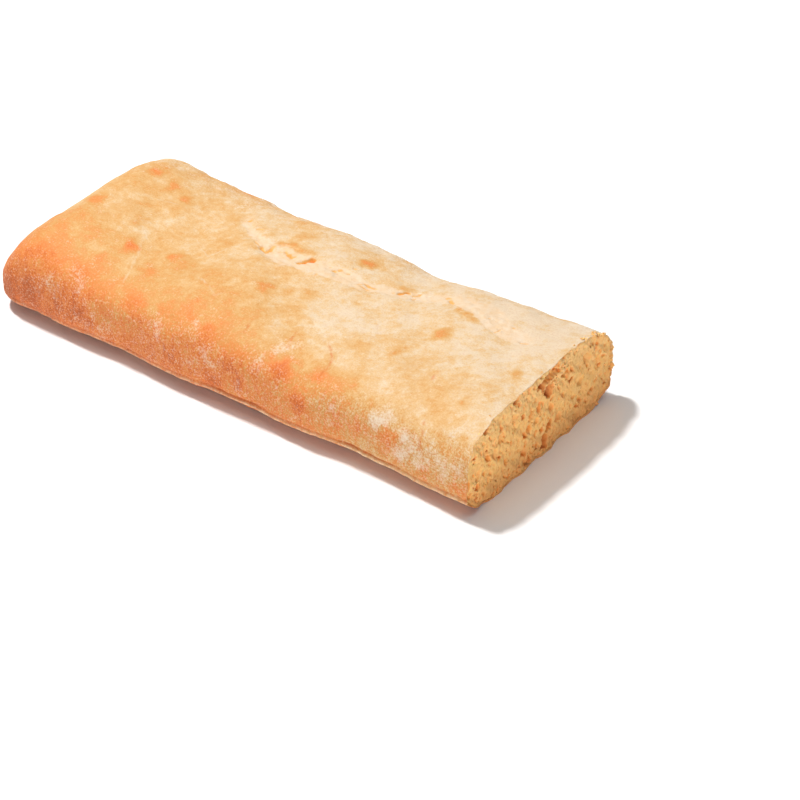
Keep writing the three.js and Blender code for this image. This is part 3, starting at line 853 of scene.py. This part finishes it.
def cut_body(crust, material):
    """The plain body behind the cut: its uneven face, with the large bubbles as hollows."""
    rings, around = BODY_RINGS, BODY_AROUND
    outer = even_ring(crust[-1, :, 1:], around)
    run = np.roll(outer, -1, axis=0) - np.roll(outer, 1, axis=0)
    run /= np.linalg.norm(run, axis=-1, keepdims=True)
    inward = np.stack([run[:, 1], -run[:, 0]], axis=-1)
    low_down = smooth_step((12 - outer[:, 1]) / 10)[:, None]
    edge = outer + inward * (CRUMB_INSET_TOP + (CRUMB_INSET_BASE - CRUMB_INSET_TOP) * low_down)
    centre = np.array([edge[:, 0].mean(), 0.48 * HEIGHT])
    share = np.linspace(1, 0.02, rings)[:, None, None]
    face = centre + share * (edge - centre)
    across, height = face[..., 0], face[..., 1]
    sunk = CRUMB_SUNK + CRUMB_SUNK_AT_EDGE * smooth_step((share[..., 0] - 0.9) / 0.1)
    depth = LENGTH + cut_relief(across, height) - sunk - torn_cut(across, height)
    depth = depth - dents(across, height, CUT_BUBBLES)
    front = np.concatenate([depth[..., None], face], axis=-1)
    back = even_ring(inside_ring(crust, CUP_DEPTH + 0.4, CRUST_THICKNESS - 0.1), around)[None]
    points = np.concatenate([back, front]).reshape(-1, 3)
    points[:, 0] -= LENGTH / 2
    hub_front, hub_back = len(points), len(points) + 1
    points = np.concatenate([points, [points[-around:].mean(axis=0), points[:around].mean(axis=0)]])
    j = np.arange(around)
    following = (j + 1) % around
    last = rings * around
    fan_front = np.stack([last + following, last + j, np.full(around, hub_front)], axis=-1)
    fan_back = np.stack([j, following, np.full(around, hub_back)], axis=-1)
    body = mesh_object("cut_body", points, [ring_quads(rings + 1, around), fan_front, fan_back], material)
    store(body.data, "open_side", np.concatenate([np.zeros(around), np.ones(rings * around), [1, 0]]))
    return body


def edge_ribbon(crust, material):
    """A thin ribbon round the cut's edge, which loose flakes are scattered on."""
    rim = crust[-1]
    behind = crust[-3]
    inner = inside_ring(crust, 0.0, 2.2 * CRUST_THICKNESS)
    inner[:, 0] -= 0.7
    points = np.concatenate([behind, rim, inner])
    flaky = 0.08 + smooth_step((rim[:, 1] - 12) / 26) * smooth_step((rim[:, 2] - 4) / 8)
    flaky = flaky + 0.5 * smooth_step((-40 - rim[:, 1]) / 8) * smooth_step((14 - rim[:, 2]) / 8)
    flaky = flaky * smooth_step(0.5 + 0.9 * noise(rim, 7, 95))
    points[:, 0] -= LENGTH / 2
    ribbon = mesh_object("edge_ribbon", points, [ring_quads(3, len(rim))], material)
    store(ribbon.data, "flaky", np.tile(flaky, 3))
    return ribbon


# ---------------------------------------------------------------- nodes

def add(tree, kind, links=None, **settings):
    """Adds a node. links gives each input, by number or name, a value or what feeds it."""
    made = tree.nodes.new(kind)
    for name, value in settings.items():
        setattr(made, name, value)
    for key, value in (links or {}).items():
        if isinstance(value, bpy.types.Node):
            value = next(socket for socket in value.outputs if socket.enabled)
        if isinstance(value, bpy.types.NodeSocket):
            tree.links.new(value, made.inputs[key])
        else:
            made.inputs[key].default_value = value
    return made


def new_tree(name, inputs, output):
    """A Geometry Nodes tree with named inputs and one geometry output, and what its inputs give."""
    tree = bpy.data.node_groups.new(name, "GeometryNodeTree")
    for socket, kind in inputs.items():
        tree.interface.new_socket(name=socket, in_out="INPUT", socket_type="NodeSocket" + kind)
    tree.interface.new_socket(name=output, in_out="OUTPUT", socket_type="NodeSocketGeometry")
    return tree, add(tree, "NodeGroupInput").outputs


STRAY_POINTS = 1000  # a body of fewer points than this isn't part of the crumb
CRUMB_INPUTS = {
    "Body": "Geometry", "Grain": "Float", "Large spacing": "Float", "Large least": "Float",
    "Medium spacing": "Float", "Medium least": "Float", "Small spacing": "Float", "Small least": "Float",
    "Stretch": "Vector", "Roughness": "Float", "Flatness": "Float", "Seed": "Float", "Material": "Material",
}


def crumb_tree():
    """Geometry Nodes for bread crumb: a closed body filled with bubbles of three sizes.

    The points with open_side above a half mark the faces where the crumb shows. Only bubbles that
    reach such a face are made, so nothing is left sealed inside. The attribute hollow tells the
    material how deep in a bubble a point lies.
    """
    tree, given = new_tree("open wheat crumb", CRUMB_INPUTS, "Crumb")

    def calculate(operation, first, second=0.0, **settings):
        return add(tree, "ShaderNodeMath", {0: first, 1: second}, operation=operation, **settings)

    def soften(first, second, reach):
        """The greater of two depths, with the edge between them rounded."""
        return add(tree, "ShaderNodeMath", {0: first, 1: second, 2: reach}, operation="SMOOTH_MAX")

    def combine(operation, first, second):
        return add(tree, "ShaderNodeVectorMath", {0: first, 1: second}, operation=operation)

    def scale(vector, factor):
        return add(tree, "ShaderNodeVectorMath", {0: vector, "Scale": factor}, operation="SCALE")

    position = add(tree, "GeometryNodeInputPosition")
    nearest = add(tree, "GeometryNodeProximity", {"Target": given["Body"]}, target_element="FACES")
    skin_normal = add(
        tree, "GeometryNodeSampleNearestSurface",
        {"Mesh": given["Body"], "Value": add(tree, "GeometryNodeInputNormal")}, data_type="FLOAT_VECTOR",
    )
    from_skin = combine("SUBTRACT", position, nearest.outputs["Position"])
    side = calculate("SIGN", combine("DOT_PRODUCT", from_skin, skin_normal).outputs["Value"])
    depth = calculate("MULTIPLY", nearest.outputs["Distance"], side)

    is_open = add(tree, "GeometryNodeInputNamedAttribute", {"Name": "open_side"}, data_type="FLOAT")
    chosen = add(
        tree, "FunctionNodeCompare", {0: is_open, 1: 0.5}, data_type="FLOAT", operation="GREATER_THAN"
    )
    open_faces = add(
        tree, "GeometryNodeSeparateGeometry",
        {"Geometry": given["Body"], "Selection": chosen}, domain="POINT",
    )

    # The bubbles' cells are bent a little, so that none is a true ball, and then stretched.
    jitter = add(tree, "ShaderNodeTexNoise", {"Vector": position, "Scale": 1 / (2.6 * MM), "Detail": 2.0})
    bend = scale(combine("SUBTRACT", jitter.outputs["Color"], (0.5, 0.5, 0.5)), 3.4 * MM)
    shifted = combine("ADD", combine("ADD", position, bend), given["Seed"])
    stretched = combine("MULTIPLY", shifted, given["Stretch"])

    def bubbles(spacing, least, most):
        """Distance to the wall of the nearest bubble, positive inside it."""
        cells = add(
            tree, "ShaderNodeTexVoronoi", {"Vector": stretched, "Scale": calculate("DIVIDE", 1.0, spacing)},
            feature="F1",
        )
        apart = calculate("MULTIPLY", cells.outputs["Distance"], spacing)
        lot = add(tree, "FunctionNodeSeparateColor", {0: cells.outputs["Color"]})
        share = add(tree, "ShaderNodeMapRange", {"Value": lot.outputs[0], "To Min": least, "To Max": most})
        radius = calculate("MULTIPLY", share, spacing)
        cell_centre = combine("DIVIDE", cells.outputs["Position"], given["Stretch"])
        centre = combine("SUBTRACT", cell_centre, given["Seed"])
        to_open = add(
            tree, "GeometryNodeProximity",
            {"Target": open_faces.outputs["Selection"], "Source Position": centre}, target_element="FACES",
        )
        opened = calculate("LESS_THAN", to_open.outputs["Distance"], calculate("MULTIPLY", radius, 0.85))
        return calculate("SUBTRACT", calculate("MULTIPLY", radius, opened), apart)

    large = bubbles(given["Large spacing"], given["Large least"], 0.46)
    medium = bubbles(given["Medium spacing"], given["Medium least"], 0.48)
    small = bubbles(given["Small spacing"], given["Small least"], 0.50)
    hollow = soften(soften(large, medium, 0.5 * MM), small, 0.4 * MM)

    grit = add(tree, "ShaderNodeTexNoise", {"Vector": position, "Scale": 1 / (1.2 * MM), "Detail": 2.0})
    rough = calculate("MULTIPLY", calculate("SUBTRACT", grit.outputs[0], 0.5), given["Roughness"])
    to_face = add(
        tree, "GeometryNodeProximity", {"Target": open_faces.outputs["Selection"]}, target_element="FACES"
    )
    shown = add(
        tree, "ShaderNodeMapRange",
        {
            "Value": to_face.outputs["Distance"], "From Min": 4 * MM, "From Max": 5 * MM,
            "To Min": 1.0, "To Max": 0.0,
        },
    )
    roughened = calculate("ADD", depth, calculate("MULTIPLY", rough, shown))
    solid = soften(roughened, hollow, 0.5 * MM)
    share = calculate("DIVIDE", solid, calculate("MULTIPLY", given["Grain"], 4.0))
    density = calculate("SUBTRACT", 0.5, share, use_clamp=True)

    box = add(tree, "GeometryNodeBoundBox", {"Geometry": given["Body"]})
    margin = scale(scale((1, 1, 1), given["Grain"]), 3.0)
    low = combine("SUBTRACT", box.outputs["Min"], margin)
    high = combine("ADD", box.outputs["Max"], margin)
    counts = scale(combine("SUBTRACT", high, low), calculate("DIVIDE", 1.0, given["Grain"]))
    count = add(tree, "ShaderNodeSeparateXYZ", {0: counts})
    volume = add(
        tree, "GeometryNodeVolumeCube",
        {
            "Density": density, "Min": low, "Max": high, "Resolution X": count.outputs[0],
            "Resolution Y": count.outputs[1], "Resolution Z": count.outputs[2],
        },
    )
    surface = add(
        tree, "GeometryNodeVolumeToMesh",
        {"Volume": volume, "Threshold": 0.5, "Adaptivity": given["Flatness"]},
    )
    # Specks that hang loose and hollows that stay sealed are left out, so the crumb is one closed body.
    island = add(tree, "GeometryNodeInputMeshIsland")
    island_points = add(
        tree, "GeometryNodeAccumulateField", {"Value": 1.0, "Group ID": island.outputs["Island Index"]},
        data_type="FLOAT", domain="POINT",
    )
    stray = add(
        tree, "FunctionNodeCompare", {0: island_points.outputs["Total"], 1: STRAY_POINTS},
        data_type="FLOAT", operation="LESS_THAN",
    )
    joined = add(
        tree, "GeometryNodeDeleteGeometry", {"Geometry": surface, "Selection": stray}, domain="POINT"
    )
    # hollow carries painted shade: the crumb material browns points that lie deeper in a bubble.
    inside = add(tree, "ShaderNodeMapRange", {"Value": depth, "From Min": 0.0, "From Max": -2.4 * MM})
    marked = add(
        tree, "GeometryNodeStoreNamedAttribute",
        {"Geometry": joined, "Name": "hollow", "Value": inside}, data_type="FLOAT", domain="POINT",
    )
    smoothed = add(tree, "GeometryNodeSetShadeSmooth", {"Geometry": marked})
    realized = add(tree, "GeometryNodeRealizeInstances", {"Geometry": smoothed})
    finished = add(tree, "GeometryNodeSetMaterial", {"Geometry": realized, "Material": given["Material"]})
    add(tree, "NodeGroupOutput", {"Crumb": finished})
    return tree


FLAKE_INPUTS = {
    "Edge": "Geometry", "Thickness of fall": "Float", "Least": "Float", "Most": "Float", "Seed": "Int",
    "Material": "Material",
}


def flake_tree():
    """Geometry Nodes for loose flakes of crumb, scattered where the edge's flaky attribute says."""
    tree, given = new_tree("loose flakes", FLAKE_INPUTS, "Flakes")
    flaky = add(tree, "GeometryNodeInputNamedAttribute", {"Name": "flaky"}, data_type="FLOAT")
    density = add(tree, "ShaderNodeMath", {0: flaky, 1: given["Thickness of fall"]}, operation="MULTIPLY")
    fall = add(
        tree, "GeometryNodeDistributePointsOnFaces",
        {"Mesh": given["Edge"], "Density": density, "Seed": given["Seed"]}, distribute_method="RANDOM",
    )
    grain = add(tree, "GeometryNodeMeshIcoSphere", {"Radius": 1.0, "Subdivisions": 2})
    turned = add(
        tree, "FunctionNodeRandomValue",
        {"Min": (0.0, 0.0, 0.0), "Max": (6.28, 6.28, 6.28), "Seed": given["Seed"]},
        data_type="FLOAT_VECTOR",
    )
    even = add(
        tree, "FunctionNodeRandomValue", {2: given["Least"], 3: given["Most"], "Seed": given["Seed"]},
        data_type="FLOAT",
    )
    uneven = add(
        tree, "FunctionNodeRandomValue",
        {"Min": (0.5, 0.6, 0.35), "Max": (1.0, 1.3, 0.8), "Seed": given["Seed"]},
        data_type="FLOAT_VECTOR",
    )
    size = add(tree, "ShaderNodeVectorMath", {0: uneven, "Scale": even}, operation="SCALE")
    placed = add(
        tree, "GeometryNodeInstanceOnPoints",
        {"Points": fall, "Instance": grain, "Rotation": turned, "Scale": size},
    )
    realized = add(tree, "GeometryNodeRealizeInstances", {"Geometry": placed})
    position = add(tree, "GeometryNodeInputPosition")
    ragged = add(tree, "ShaderNodeTexNoise", {"Vector": position, "Scale": 1 / (0.8 * MM), "Detail": 2.0})
    centred = add(
        tree, "ShaderNodeVectorMath", {0: ragged.outputs["Color"], 1: (0.5, 0.5, 0.5)}, operation="SUBTRACT"
    )
    bend = add(tree, "ShaderNodeVectorMath", {0: centred, "Scale": 2.4 * MM}, operation="SCALE")
    shaped = add(tree, "GeometryNodeSetPosition", {"Geometry": realized, "Offset": bend})
    finished = add(tree, "GeometryNodeSetMaterial", {"Geometry": shaped, "Material": given["Material"]})
    add(tree, "NodeGroupOutput", {"Flakes": finished})
    return tree


def through_nodes(source, tree, values, name):
    """Runs a body through a Geometry Nodes tree and keeps the result as a plain mesh object."""
    modifier = source.modifiers.new("shape", "NODES")
    modifier.node_group = tree
    sockets = [item for item in tree.interface.items_tree if item.in_out == "INPUT"]
    identifiers = {socket.name: socket.identifier for socket in sockets}
    for key, value in values.items():
        modifier[identifiers[key]] = value
    evaluated = source.evaluated_get(bpy.context.evaluated_depsgraph_get())
    mesh = bpy.data.meshes.new_from_object(evaluated)
    mesh.name = name
    made = new_object(name, mesh)
    source.modifiers.remove(modifier)
    bpy.data.objects.remove(source)
    return made


# ---------------------------------------------------------------- materials

def colour(value):
    """Linear colour, with alpha, from an sRGB hex value."""
    channels = [int(value[i:i + 2], 16) / 255 for i in (1, 3, 5)]
    linear = [c / 12.92 if c <= 0.04045 else ((c + 0.055) / 1.055) ** 2.4 for c in channels]
    return (*linear, 1.0)


def ramp(tree, value, stops):
    """A colour ramp through stops of position and sRGB hex."""
    made = add(tree, "ShaderNodeValToRGB", {"Fac": value})
    elements = made.color_ramp.elements
    while len(elements) < len(stops):
        elements.new(1.0)
    for element, (place, tint) in zip(elements, stops):
        element.position = place
        element.color = colour(tint)
    return made


def new_material(name):
    material = bpy.data.materials.new(name)
    material.use_nodes = True
    tree = material.node_tree
    tree.nodes.clear()
    return material, tree


def per_mm(size):
    """A texture's scale for features of this size in mm, on coordinates in metres."""
    return 1 / (size * MM)


def baked_crust():
    """Baked wheat crust: thin dry skin that browns in patches, with flour caught in its grain."""
    material, tree = new_material("baked wheat crust")
    where = add(tree, "ShaderNodeTexCoord").outputs["Object"]
    # Streaks follow the way down the sides, so they are long across and in height, and short along.
    streak_space = add(tree, "ShaderNodeMapping", {"Vector": where, "Scale": (1.0, 0.16, 0.14)})
    # Wisps lie aslant over the top, the way the dough was stretched.
    wisp_space = add(
        tree, "ShaderNodeMapping",
        {"Vector": where, "Rotation": (0.0, 0.0, math.radians(37)), "Scale": (2.6, 1.0, 1.5)},
        vector_type="TEXTURE",
    )

    def from_mesh(name):
        return add(tree, "ShaderNodeAttribute", attribute_name=name).outputs["Fac"]

    def calculate(operation, first, second, third=0.0):
        return add(tree, "ShaderNodeMath", {0: first, 1: second, 2: third}, operation=operation)

    def times(first, second):
        return calculate("MULTIPLY", first, second)

    def plus(value, by, onto):
        return calculate("MULTIPLY_ADD", value, by, onto)

    def share_of(value, start, full):
        """0 up to the start, 1 from the full value on."""
        return add(tree, "ShaderNodeMapRange", {"Value": value, "From Min": start, "From Max": full})

    def grain(size, detail=2.0, vector=where):
        made = add(tree, "ShaderNodeTexNoise", {"Vector": vector, "Scale": per_mm(size), "Detail": detail})
        return calculate("SUBTRACT", made.outputs[0], 0.5)

    def mixed(share, under, over):
        return add(tree, "ShaderNodeMix", {0: share, 6: under, 7: over}, data_type="RGBA").outputs[2]

    def line(name, half_width):
        """1 on the middle of a line, 0 beyond its half width, in mm, broken here and there."""
        away = plus(grain(2.0), 1.6, calculate("ABSOLUTE", from_mesh(name), 0.0))
        drawn = add(
            tree, "ShaderNodeMapRange",
            {"Value": away, "From Min": 0.0, "From Max": half_width, "To Min": 1.0, "To Max": 0.0},
            interpolation_type="SMOOTHSTEP",
        )
        return times(drawn, share_of(grain(3.2, 3.0), -0.16, 0.06))

    side = from_mesh("side")
    speckle = grain(0.6, 2.0)
    fleck = grain(1.2, 3.0)
    texture_grain = grain(0.75, 3.0)
    streaks = grain(1.1, 3.0, streak_space)
    wisps = grain(2.2, 4.0, wisp_space)
    browned = plus(grain(8.0, 4.0), 0.42, from_mesh("bake"))
    browned = plus(grain(3.0, 3.0), 0.32, browned)
    browned = plus(speckle, plus(side, 0.55, 0.22), browned)
    browned = plus(fleck, plus(side, 0.35, 0.10), browned)
    browned = plus(times(streaks, side), 0.5, browned)
    browned = plus(times(wisps, calculate("SUBTRACT", 1.0, side)), -0.16, browned)
    crust = ramp(tree, browned, [
        (0.0, "#e1caac"), (0.09, "#dec097"), (0.21, "#daaf77"), (0.32, "#d5a05f"),
        (0.45, "#d99351"), (0.60, "#e18645"), (0.78, "#d77138"), (1.0, "#bc5b2d"),
    ])
    # The dry skin's grain shows as pale points and dark pores, most of all down the sides.
    pale_grain = times(share_of(texture_grain, 0.02, 0.17), plus(side, 0.20, 0.18))
    dark_grain = times(share_of(texture_grain, -0.02, -0.17), plus(side, 0.24, 0.16))
    crust = mixed(pale_grain, crust, colour("#efd3ab"))
    crust = mixed(dark_grain, crust, colour("#c4682f"))

    skin_share = share_of(plus(grain(1.8, 4.0), 1.3, from_mesh("skin")), 0.2, 1.0)
    stretched = plus(grain(2.6, 3.0), 1.0, 0.5)
    skin = ramp(tree, stretched, [(0.2, "#e4be90"), (0.5, "#e5c9a8"), (0.8, "#e7d3bb")])
    shown = mixed(times(skin_share, 0.85), crust, skin)

    # Flour lies in the grain as a broken net, with single specks beside it.
    net = calculate("SUBTRACT", 1.0, share_of(calculate("ABSOLUTE", grain(1.7, 2.0), 0.0), 0.0, 0.06))
    flour = from_mesh("flour")
    dust = plus(texture_grain, 1.3, flour)
    dust = plus(net, 0.14, dust)
    dust = plus(streaks, 0.3, dust)
    dust = plus(grain(3.4, 3.0), 1.4, dust)
    powder = share_of(dust, 0.26, 1.05)
    cells = add(tree, "ShaderNodeTexVoronoi", {"Vector": where, "Scale": per_mm(3.1)})
    specks = times(share_of(cells.outputs["Distance"], 0.15, 0.08), share_of(flour, 0.1, 0.3))
    shown = mixed(times(calculate("MAXIMUM", powder, times(specks, 0.6)), 0.8), shown, colour("#ead8c2"))

    pale = times(line("pale_line", 0.9), from_mesh("pale_strength"))
    shown = mixed(times(pale, 0.34), shown, colour("#e0cfb2"))
    crease = times(line("crease", 1.1), from_mesh("crease_strength"))
    shown = mixed(times(crease, 0.6), shown, colour("#cf6f30"))
    # The pinched seam's groove is darkened as painted shade, and the thin lip below it is pale crust
    # lightened further as a painted highlight.
    seam = times(from_mesh("seam"), share_of(grain(2.6, 3.0), -0.2, 0.05))
    shown = mixed(times(seam, 0.7), shown, colour("#b85a2a"))
    lip = times(from_mesh("lip"), share_of(plus(speckle, 0.6, grain(2.2, 3.0)), -0.22, 0.12))
    shown = mixed(times(lip, 0.8), shown, colour("#f2d3ab"))

    # Pits are ochre to orange in their own colour, and are painted darker with depth as painted shade.
    pit = from_mesh("pit")
    pit_tone_and_shade = ramp(tree, pit, [(0.0, "#e6c094"), (0.4, "#e5ac64"), (0.8, "#e49346"), (1.0, "#d67b32")])
    shown = mixed(share_of(pit, 0.02, 0.3), shown, pit_tone_and_shade)
    crumb = ramp(tree, grain(1.2, 3.0), [(0.0, "#e0b272"), (1.0, "#e9c78e")])
    shown = mixed(from_mesh("crumb"), shown, crumb)

    height = times(grain(1.7, 4.0), 0.5)
    height = plus(texture_grain, 0.6, height)
    height = plus(times(streaks, side), 1.0, height)
    height = plus(pale, 0.2, height)
    height = plus(crease, -0.25, height)
    relief = add(tree, "ShaderNodeBump", {"Height": height, "Strength": 0.7, "Distance": 0.4 * MM})
    crust_shader = add(
        tree, "ShaderNodeBsdfPrincipled",
        {"Base Color": shown, "Roughness": 0.65, "Normal": relief, "IOR": 1.45, "Specular IOR Level": 0.25},
    )
    add(tree, "ShaderNodeOutputMaterial", {"Surface": crust_shader})
    return material


def wheat_crumb():
    """Open wheat crumb: soft moist bubble walls, cream outside; deeper in the bubbles painted shade turns
    them golden to brown, and their golden tint is partly painted warm bounce light.
    """
    material, tree = new_material("open wheat crumb")
    where = add(tree, "ShaderNodeTexCoord").outputs["Object"]
    hollow = add(tree, "ShaderNodeAttribute", attribute_name="hollow").outputs["Fac"]
    grit = add(tree, "ShaderNodeTexNoise", {"Vector": where, "Scale": per_mm(1.4), "Detail": 3.0})
    shade = add(tree, "ShaderNodeMath", {0: grit.outputs[0], 1: 0.5}, operation="SUBTRACT")
    level = add(tree, "ShaderNodeMath", {0: shade, 1: 0.5, 2: hollow}, operation="MULTIPLY_ADD")
    # Painted shade: the deeper a point lies in a bubble (hollow), the browner the colour. The ramp's golden
    # start is partly painted warm bounce light.
    tint = ramp(tree, level, [(0.0, "#fac47a"), (0.25, "#f6aa5c"), (0.6, "#e28d40"), (1.0, "#c36d2e")])
    # Paler towards the top, and darkened and browned towards the base as painted shade.
    height = add(tree, "ShaderNodeSeparateXYZ", {0: where}).outputs[2]
    for start, full, share, shift in [(22, 40, 0.3, "#fdd79c"), (15, 3, 0.45, "#d08344")]:
        part = add(
            tree, "ShaderNodeMapRange",
            {"Value": height, "From Min": start * MM, "From Max": full * MM, "To Max": share},
        )
        tint = add(tree, "ShaderNodeMix", {0: part, 6: tint, 7: colour(shift)}, data_type="RGBA").outputs[2]
    fine = add(tree, "ShaderNodeTexNoise", {"Vector": where, "Scale": per_mm(0.5), "Detail": 3.0})
    relief = add(tree, "ShaderNodeBump", {"Height": fine.outputs[0], "Strength": 0.5, "Distance": 0.3 * MM})
    crumb = add(
        tree, "ShaderNodeBsdfPrincipled",
        {"Base Color": tint, "Roughness": 0.75, "Normal": relief, "Specular IOR Level": 0.25,
         "Subsurface Weight": 0.25, "Subsurface Scale": 0.001, "Subsurface Radius": (1.0, 0.6, 0.3)},
    )
    add(tree, "ShaderNodeOutputMaterial", {"Surface": crumb})
    return material


def pale_board():
    """A plain pale table top, matt."""
    material, tree = new_material("pale matt board")
    where = add(tree, "ShaderNodeTexCoord").outputs["Object"]
    cloud = add(tree, "ShaderNodeTexNoise", {"Vector": where, "Scale": 3.0})
    tint = ramp(tree, cloud.outputs[0], [(0.0, "#f8f8f8"), (1.0, "#fafafa")])
    board = add(tree, "ShaderNodeBsdfPrincipled", {"Base Color": tint, "Roughness": 0.9})
    add(tree, "ShaderNodeOutputMaterial", {"Surface": board})
    return material


# ---------------------------------------------------------------- scene

# The studio's light: a high lamp beyond the blunt end, a wide soft one overhead, a weak one low in front,
# and white surroundings.
KEY_PLACE = (-0.50, -0.03, 1.32)
KEY_SIZE = 0.16
KEY_POWER = 18.4
SKY_HEIGHT = 2.2
SKY_SIZE = 2.4
SKY_POWER = 17.0
FILL_PLACE = (0.98, -1.18, 0.22)
FILL_SIZE = 0.4
FILL_POWER = 8.0
SURROUNDINGS = 0.12
TABLE_REACH = 3.0


def look_at(thing, target):
    thing.rotation_euler = (Vector(target) - thing.location).to_track_quat("-Z", "Y").to_euler()


def add_camera():
    azimuth, elevation = math.radians(CAMERA_AZIMUTH), math.radians(CAMERA_ELEVATION)
    level = math.cos(elevation)
    back = Vector((math.sin(azimuth) * level, -math.cos(azimuth) * level, math.sin(elevation)))
    data = bpy.data.cameras.new("camera")
    data.sensor_width = SENSOR
    data.lens = FOCAL_PIXELS * SENSOR / FRAME_PIXELS
    camera = new_object("camera", data)
    aim = Vector(CAMERA_AIM) * MM
    camera.location = aim + back * CAMERA_DISTANCE * MM
    look_at(camera, aim)
    bpy.context.scene.camera = camera


def add_lamp(name, place, size, power):
    data = bpy.data.lights.new(name, "AREA")
    data.shape = "DISK"
    data.size = size
    data.energy = power
    lamp = new_object(name, data)
    lamp.location = place
    look_at(lamp, (0, 0, 0.02))


def add_studio():
    mesh = bpy.data.meshes.new("table")
    corners = [(-1, -1), (1, -1), (1, 1), (-1, 1)]
    mesh.from_pydata([(x * TABLE_REACH, y * TABLE_REACH, 0) for x, y in corners], [], [(0, 1, 2, 3)])
    mesh.materials.append(pale_board())
    table = new_object("table", mesh)
    world = bpy.data.worlds.new("studio")
    bpy.context.scene.world = world
    world.use_nodes = True
    background = world.node_tree.nodes["Background"]
    background.inputs["Color"].default_value = (1, 1, 1, 1)
    background.inputs["Strength"].default_value = SURROUNDINGS
    add_lamp("key", KEY_PLACE, KEY_SIZE, KEY_POWER)
    add_lamp("sky", (0, 0, SKY_HEIGHT), SKY_SIZE, SKY_POWER)
    add_lamp("fill", FILL_PLACE, FILL_SIZE, FILL_POWER)
    bpy.context.scene.view_settings.view_transform = "Standard"


def settle(pieces):
    """Moves the shaped pieces as one to where the solid stands, and keeps them inside its box."""
    crust = pieces[0]
    points = np.empty(len(crust.data.vertices) * 3, np.float32)
    crust.data.vertices.foreach_get("co", points)
    points = points.reshape(-1, 3)
    low, high = LOW * MM, HIGH * MM
    shift = np.array([
        low[0] - points[:, 0].min(),
        (low[1] + high[1] - points[:, 1].min() - points[:, 1].max()) / 2,
        low[2] - points[:, 2].min(),
    ])
    for piece in pieces:
        mesh = piece.data
        place = np.empty(len(mesh.vertices) * 3, np.float32)
        mesh.vertices.foreach_get("co", place)
        moved = np.clip(place.reshape(-1, 3) + shift, low, high)
        mesh.vertices.foreach_set("co", moved.astype(np.float32).ravel())
        mesh.update()


def main():
    add_camera()
    add_studio()
    crust_material = baked_crust()
    crumb_material = wheat_crumb()
    points, skin, pit = crust_points()
    crust = build_crust(points, skin, pit, crust_material)
    cut_crumb = through_nodes(cut_body(points, crumb_material), crumb_tree(), {
        "Grain": 0.38 * MM, "Large spacing": 7.5 * MM, "Large least": -0.6, "Medium spacing": 3.2 * MM,
        "Medium least": -0.35, "Small spacing": 1.6 * MM, "Small least": 0.08, "Stretch": (1.0, 1.15, 0.85),
        "Roughness": 1.6 * MM, "Flatness": 0.02, "Seed": 0.31, "Material": crumb_material,
    }, "cut_crumb")
    flakes = through_nodes(edge_ribbon(points, crumb_material), flake_tree(), {
        "Thickness of fall": 3.8e5, "Least": 0.3 * MM, "Most": 1.1 * MM, "Seed": 4,
        "Material": crumb_material,
    }, "loose_flakes")
    pieces = [crust, cut_crumb, flakes]
    settle(pieces)
    for piece, finish in zip(pieces, ("crust", "crumb", "crumb")):
        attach(piece, "root")
        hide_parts("loaf")
        piece.data.calc_loop_triangles()
        print(piece.name, len(piece.data.loop_triangles), "triangles")


main()
